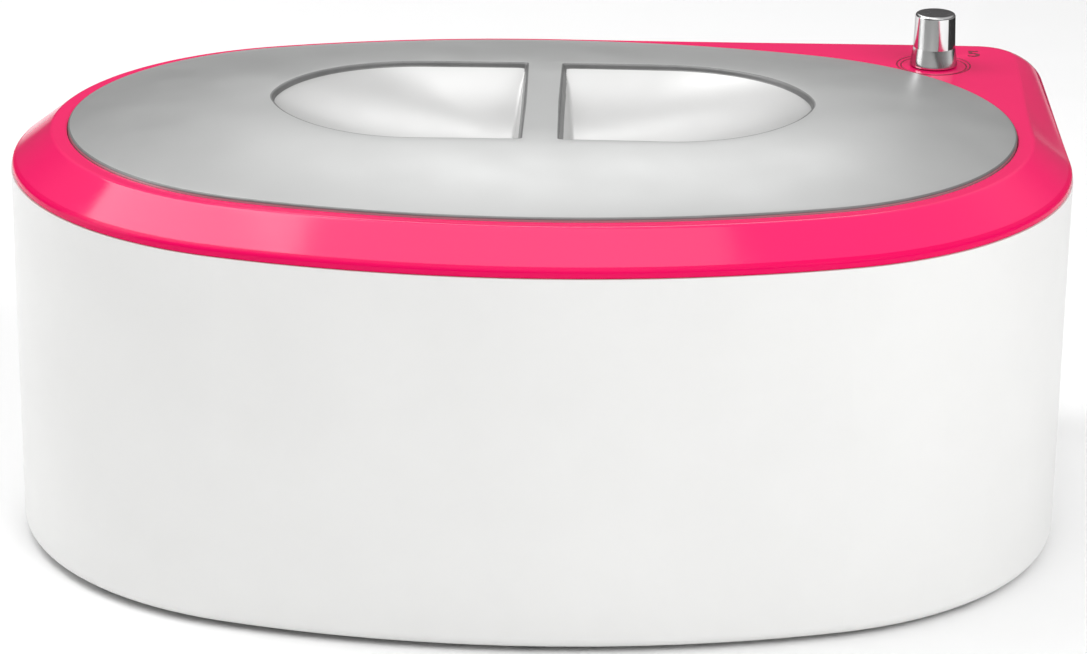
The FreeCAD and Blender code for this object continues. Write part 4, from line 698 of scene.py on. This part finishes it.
class Material:
    """A Principled material whose colour, roughness and bump come from procedural nodes."""

    def __init__(self, name, **constants):
        self.data = bpy.data.materials.new(name)
        self.data.use_nodes = True
        self.tree = self.data.node_tree
        self.shader = self.tree.nodes["Principled BSDF"]
        for socket, value in constants.items():
            self.shader.inputs[socket.replace("_", " ")].default_value = value
        self.place = self.tree.nodes.new("ShaderNodeTexCoord").outputs["Object"]
        self.normal = None

    def link(self, source, target):
        self.tree.links.new(source, target)

    def stretched(self, scale):
        """The place on the object, stretched for texture that runs one way."""
        mapping = self.tree.nodes.new("ShaderNodeMapping")
        mapping.inputs["Scale"].default_value = scale
        self.link(self.place, mapping.inputs["Vector"])
        return mapping.outputs["Vector"]

    def noise(self, size_mm, detail=4.0, stretch=(1, 1, 1)):
        """Noise whose features are about this many millimetres across."""
        node = self.tree.nodes.new("ShaderNodeTexNoise")
        node.inputs["Scale"].default_value = 1 / (size_mm * MM)
        node.inputs["Detail"].default_value = detail
        node.inputs["Roughness"].default_value = 0.55
        self.link(self.stretched(stretch), node.inputs["Vector"])
        return node.outputs["Fac"]

    def cells(self, size_mm):
        """Pebbles or flakes about this many millimetres across."""
        node = self.tree.nodes.new("ShaderNodeTexVoronoi")
        node.inputs["Scale"].default_value = 1 / (size_mm * MM)
        self.link(self.place, node.inputs["Vector"])
        return node.outputs["Distance"]

    def remap(self, source, low, high):
        """Spread the middle of a noise's range over the given one."""
        node = self.tree.nodes.new("ShaderNodeMapRange")
        node.inputs["From Min"].default_value = 0.3
        node.inputs["From Max"].default_value = 0.7
        node.inputs["To Min"].default_value = low
        node.inputs["To Max"].default_value = high
        self.link(source, node.inputs["Value"])
        return node.outputs["Result"]

    def colour(self, source, first, second):
        node = self.tree.nodes.new("ShaderNodeMix")
        node.data_type = "RGBA"
        ends = [socket for socket in node.inputs if socket.type == "RGBA"]
        ends[0].default_value = (*first, 1)
        ends[1].default_value = (*second, 1)
        self.link(self.remap(source, 0, 1), node.inputs["Factor"])
        result = [socket for socket in node.outputs if socket.type == "RGBA"][0]
        self.link(result, self.shader.inputs["Base Color"])

    def roughness(self, source, low, high):
        self.link(self.remap(source, low, high), self.shader.inputs["Roughness"])

    def bump(self, source, height_mm, strength=1.0):
        """Relief of this height, on top of any relief that is already there."""
        node = self.tree.nodes.new("ShaderNodeBump")
        node.inputs["Strength"].default_value = strength
        node.inputs["Distance"].default_value = height_mm * MM
        self.link(source, node.inputs["Height"])
        if self.normal is not None:
            self.link(self.normal, node.inputs["Normal"])
        self.normal = node.outputs["Normal"]
        self.link(self.normal, self.shader.inputs["Normal"])


def tint(colour, factor):
    """A colour made lighter or darker."""
    return tuple(min(1.0, part * factor) for part in colour)


def moulded(name, colour, rough, spread=0.05, grain_mm=0.9, grain_height=0.004, **constants):
    """Moulded plastic: faint flow marks, a fine grain and uneven gloss."""
    made = Material(name, **constants)
    made.colour(made.noise(46), tint(colour, 0.985), tint(colour, 1.015))
    made.roughness(made.noise(14, detail=6), rough - spread / 2, rough + spread / 2)
    made.bump(made.noise(60, detail=2), 0.02, 0.35)
    made.bump(made.noise(grain_mm, detail=3), grain_height, 0.5)
    return made.data


def metal(name, colour, rough, spread=0.08, stretch=(1, 1, 1), grain_mm=0.5, height=0.004,
          **constants):
    """Bare or plated metal with fine tool marks along one direction."""
    made = Material(name, Metallic=1.0, **constants)
    made.colour(made.noise(9, detail=6), tint(colour, 0.93), tint(colour, 1.04))
    made.roughness(made.noise(3, detail=6, stretch=stretch), rough - spread / 2,
                   rough + spread / 2)
    made.bump(made.noise(grain_mm, detail=4, stretch=stretch), height, 0.5)
    return made.data


def soft(name, colour, rough, grain_mm=0.6, height=0.02):
    """Rubber, silicone or sleeve: matt, with a fine pebbled skin and dust in it."""
    made = Material(name)
    made.colour(made.noise(7, detail=8), tint(colour, 0.86), tint(colour, 1.18))
    made.roughness(made.noise(4), rough - 0.06, rough + 0.06)
    made.bump(made.cells(grain_mm), height, 0.6)
    return made.data


def fibre(name, colour):
    """Compressed glass wool: long tangled fibres and tufts."""
    made = Material(name, Sheen_Weight=0.3)
    made.colour(made.noise(5, detail=8), tint(colour, 0.8), tint(colour, 1.1))
    made.roughness(made.noise(3), 0.85, 0.98)
    made.bump(made.noise(6, detail=8), 0.9, 0.8)
    made.bump(made.noise(0.7, detail=6, stretch=(1, 1, 5)), 0.3, 0.7)
    return made.data


def silver_paint():
    """Satin silver finish: metal flake in the paint, with a soft uneven lustre."""
    made = Material("lid_silver", Metallic=0.68, IOR=1.5)
    made.colour(made.noise(70, detail=2), (0.56, 0.565, 0.56), (0.60, 0.605, 0.60))
    made.roughness(made.noise(22, detail=5), 0.34, 0.40)
    made.bump(made.cells(0.35), 0.003, 0.35)
    made.bump(made.noise(0.9, detail=3), 0.003, 0.3)
    return made.data


def band_painted_shade():
    """The cover's upright band: the same pink, made deeper as painted shade, and with less gloss."""
    # painted shade: a darker copy of the cover's pink for its upright faces
    return moulded("pink_band_painted_shade", (0.80, 0.002, 0.105), 0.20, spread=0.05,
                   grain_height=0.0015, IOR=1.22)


def step_painted_shade():
    """Painted shade on the lid's steps and rim: a darker satin grey where the step walls fall into
    shade.
    """
    made = Material("lid_step_painted_shade", Metallic=0.5, IOR=1.5)
    made.colour(made.noise(12, detail=3), (0.22, 0.22, 0.22), (0.26, 0.26, 0.26))
    made.roughness(made.noise(8, detail=4), 0.42, 0.52)
    made.bump(made.cells(0.35), 0.003, 0.35)
    return made.data


def bowl_painted_light():
    """The paint inside the scoops: as silver, but more matt, so that it shades softly, and lighter in
    colour, which is painted light.
    """
    made = Material("lid_bowl_painted_light", Metallic=0.52, IOR=1.45)
    made.colour(made.noise(40, detail=2), (0.65, 0.65, 0.645), (0.68, 0.68, 0.675))
    made.roughness(made.noise(15, detail=4), 0.36, 0.42)
    made.bump(made.cells(0.35), 0.003, 0.35)
    return made.data


def make_materials():
    return {
        "white_shell": moulded("white_shell", (0.80, 0.80, 0.79), 0.30, IOR=1.48),
        "pink_cover": moulded("pink_cover", (0.90, 0.007, 0.135), 0.11, spread=0.04,
                              grain_height=0.0015, IOR=1.5),
        "lid_silver": silver_paint(),
        "knob_metal": metal("knob_metal", (0.80, 0.80, 0.80), 0.12, spread=0.05,
                            stretch=(1, 1, 0.15), height=0.002,
                            Specular_Tint=(0.55, 0.53, 0.54, 1)),
        "knob_plastic": moulded("knob_plastic", (0.03, 0.03, 0.03), 0.5),
        "base_plastic": moulded("base_plastic", (0.62, 0.62, 0.61), 0.55, grain_mm=0.7,
                                grain_height=0.03),
        "foot_rubber": soft("foot_rubber", (0.045, 0.045, 0.045), 0.78),
        "pot_aluminium": metal("pot_aluminium", (0.80, 0.81, 0.82), 0.28, spread=0.14,
                               stretch=(1, 1, 9)),
        "silicone_seal": soft("silicone_seal", (0.74, 0.73, 0.70), 0.55),
        "sheet_steel": metal("sheet_steel", (0.56, 0.57, 0.58), 0.38, grain_mm=2.5,
                             height=0.01),
        "heater_silicone": soft("heater_silicone", (0.60, 0.13, 0.03), 0.6, grain_mm=1.2,
                                height=0.05),
        "glass_wool": fibre("glass_wool", (0.80, 0.75, 0.58)),
        "zinc_screw": metal("zinc_screw", (0.66, 0.67, 0.70), 0.25, spread=0.12),
        "thermostat_case": moulded("thermostat_case", (0.06, 0.035, 0.02), 0.42),
        "inlet_plastic": moulded("inlet_plastic", (0.018, 0.018, 0.018), 0.42, grain_mm=0.5,
                                 grain_height=0.012),
        "brass_pin": metal("brass_pin", (0.78, 0.58, 0.27), 0.22),
        "copper_tube": metal("copper_tube", (0.80, 0.42, 0.26), 0.25),
        "spindle_steel": metal("spindle_steel", (0.60, 0.60, 0.62), 0.24,
                               stretch=(1, 1, 12)),
        "fuse_case": metal("fuse_case", (0.68, 0.66, 0.58), 0.3),
        "live_sleeve": soft("live_sleeve", (0.16, 0.06, 0.025), 0.5),
        "neutral_sleeve": soft("neutral_sleeve", (0.03, 0.09, 0.36), 0.5),
        "earth_sleeve": soft("earth_sleeve", (0.16, 0.42, 0.04), 0.5),
        "heater_sleeve": soft("heater_sleeve", (0.70, 0.70, 0.67), 0.8, grain_mm=0.4),
    }


def dial_ink():
    made = Material("dial_ink", IOR=1.45)
    made.colour(made.noise(1.2), (0.20, 0.0, 0.022), (0.28, 0.0, 0.034))
    made.roughness(made.noise(1.5), 0.28, 0.4)
    made.bump(made.noise(0.25), 0.004, 0.5)
    return made.data


def paint(piece, material):
    """Make a material a piece's first one, and keep which one each face takes."""
    places = [polygon.material_index for polygon in piece.data.polygons]
    piece.data.materials.clear()
    piece.data.materials.append(material)
    piece.data.polygons.foreach_set("material_index", places)


# ---------------------------------------------------------------- studio, metres and degrees

CAMERA_PLACE = (0.03048, -1.55107, 0.62661)
CAMERA_AZIMUTH, CAMERA_ELEVATION, CAMERA_ROLL = 1.08, 19.58, 0.65
CAMERA_LENS = 147.94

# name, direction, distance, width, height, watts, and whether reflections see it
SOFTBOXES = (
    ("softbox_left", (-112, 56), 1.5, 0.75, 0.95, 7.4, True),
    ("softbox_over", (-60, 84), 1.6, 1.3, 0.9, 4.4, True),
    ("softbox_rear", (180, 36), 1.7, 0.6, 0.5, 1.8, True),
    ("softbox_front", (40, 34), 2.0, 1.6, 0.9, 20.8, False),
    ("softbox_front_far", (20, 50), 2.4, 2.4, 1.2, 4, True),
    ("softbox_side", (-88, 16), 2.2, 1.2, 1.6, 13, True))


def make_camera():
    """Camera in front of the object, a little above it, with a long lens."""
    data = bpy.data.cameras.new("camera")
    data.sensor_width = 36
    data.lens = CAMERA_LENS
    data.clip_start, data.clip_end = 0.05, 50
    camera = bpy.data.objects.new("camera", data)
    bpy.context.scene.collection.objects.link(camera)
    turn = (Matrix.Rotation(math.radians(CAMERA_AZIMUTH), 4, "Z")
            @ Matrix.Rotation(math.radians(90 - CAMERA_ELEVATION), 4, "X")
            @ Matrix.Rotation(math.radians(CAMERA_ROLL), 4, "Z"))
    camera.matrix_world = Matrix.Translation(CAMERA_PLACE) @ turn
    bpy.context.scene.camera = camera


def make_softbox(name, direction, distance, width, height, power, glossy):
    """A rectangular light in a direction from the object: azimuth from the front, elevation."""
    azimuth, elevation = (math.radians(value) for value in direction)
    offset = Vector((math.sin(azimuth) * math.cos(elevation),
                     -math.cos(azimuth) * math.cos(elevation), math.sin(elevation)))
    data = bpy.data.lights.new(name, "AREA")
    data.shape = "RECTANGLE"
    data.size, data.size_y = width, height
    data.energy = power
    light = bpy.data.objects.new(name, data)
    bpy.context.scene.collection.objects.link(light)
    light.location = Vector((0, 0, 0.12)) + offset * distance
    light.rotation_euler = offset.to_track_quat("Z", "Y").to_euler()
    light.visible_camera = False
    light.visible_glossy = glossy


def make_world():
    """A soft studio sky: pale overhead, greyer towards the horizon and darker to the left."""
    world = bpy.data.worlds.new("studio")
    bpy.context.scene.world = world
    world.use_nodes = True
    tree = world.node_tree
    place = tree.nodes.new("ShaderNodeTexCoord").outputs["Generated"]
    split = tree.nodes.new("ShaderNodeSeparateXYZ")
    tree.links.new(place, split.inputs["Vector"])
    ramp = tree.nodes.new("ShaderNodeValToRGB")
    ramp.color_ramp.interpolation = "EASE"
    stops = ((0.0, 0.12), (0.26, 0.15), (0.60, 0.54), (1.0, 0.58))
    elements = ramp.color_ramp.elements
    while len(elements) < len(stops):
        elements.new(0.5)
    for element, (position, grey) in zip(elements, stops):
        element.position = position
        element.color = (grey, grey, grey, 1)
    tree.links.new(split.outputs["Z"], ramp.inputs["Fac"])
    side = tree.nodes.new("ShaderNodeMapRange")
    side.inputs["From Min"].default_value = -0.9
    side.inputs["From Max"].default_value = 0.1
    side.inputs["To Min"].default_value = 0.55
    side.inputs["To Max"].default_value = 1.0
    tree.links.new(split.outputs["X"], side.inputs["Value"])
    background = tree.nodes["Background"]
    tree.links.new(ramp.outputs["Color"], background.inputs["Color"])
    tree.links.new(side.outputs["Result"], background.inputs["Strength"])


def make_floor():
    """A broad pale floor that the object stands on."""
    half, cells = 4000.0, 40
    axis = np.linspace(-half, half, cells + 1)
    points = [(x, y, 0.0) for y in axis for x in axis]
    floor = add_mesh("floor", points, grid_faces(cells + 1, cells + 1, False, False))
    if floor.data.polygons[0].normal.z < 0:
        floor.data.flip_normals()
    made = Material("floor_paper", IOR=1.3)
    made.colour(made.noise(300), (0.955, 0.955, 0.955), (0.97, 0.97, 0.97))
    made.roughness(made.noise(40), 0.75, 0.85)
    made.bump(made.noise(2.5, detail=5), 0.03, 0.25)
    paint(floor, made.data)


def make_flag():
    """A dark cloth on the floor, right and behind, that only reflections see."""
    near, far, height = 480.0, 1300.0, 4.0
    angles = np.radians(np.linspace(-12, 84, 25))
    points = [(KNOB_X + radius * math.cos(angle), KNOB_Y + radius * math.sin(angle), height)
              for radius in (near, far) for angle in angles]
    flag = add_mesh("flag", points, grid_faces(2, len(angles), False, False))
    made = Material("flag_cloth", Roughness=0.9)
    made.colour(made.noise(4), (0.012, 0.012, 0.012), (0.02, 0.02, 0.02))
    made.bump(made.noise(0.8), 0.1)
    paint(flag, made.data)
    flag.visible_camera = flag.visible_diffuse = flag.visible_shadow = False
    flag.visible_transmission = False


# ---------------------------------------------------------------- putting it together

def finish_nodes(materials):
    """Each CAD node takes the material of its slot."""
    for subpart in frame["record"]["subparts"]:
        node = frame["nodes"][subpart["node"]]
        paint(node, materials[subpart["material_slot"]])


def add_pieces(materials):
    cover = make_cover()
    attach(cover, "root")
    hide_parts("deck_cover")
    paint(cover, materials["pink_cover"])
    # the cover's second material: a deeper pink on the upright band, painted shade
    cover.data.materials.append(band_painted_shade())
    lid = make_lid()
    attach(lid, "lid")
    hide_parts("lid")
    paint(lid, materials["lid_silver"])
    # the lid's second material, a darker grey on the scoop steps and the rim, is painted shade
    lid.data.materials.append(step_painted_shade())
    # the third material makes the bowls a lighter silver: painted light
    lid.data.materials.append(bowl_painted_light())
    ink = dial_ink()
    for piece in (make_dial_lines(), make_dial_number()):
        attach(piece, "root")
        paint(piece, ink)


make_camera()
make_world()
for light in SOFTBOXES:
    make_softbox(*light)
make_flag()
make_floor()
materials = make_materials()
finish_nodes(materials)
add_pieces(materials)
bpy.context.scene.view_settings.view_transform = "Standard"
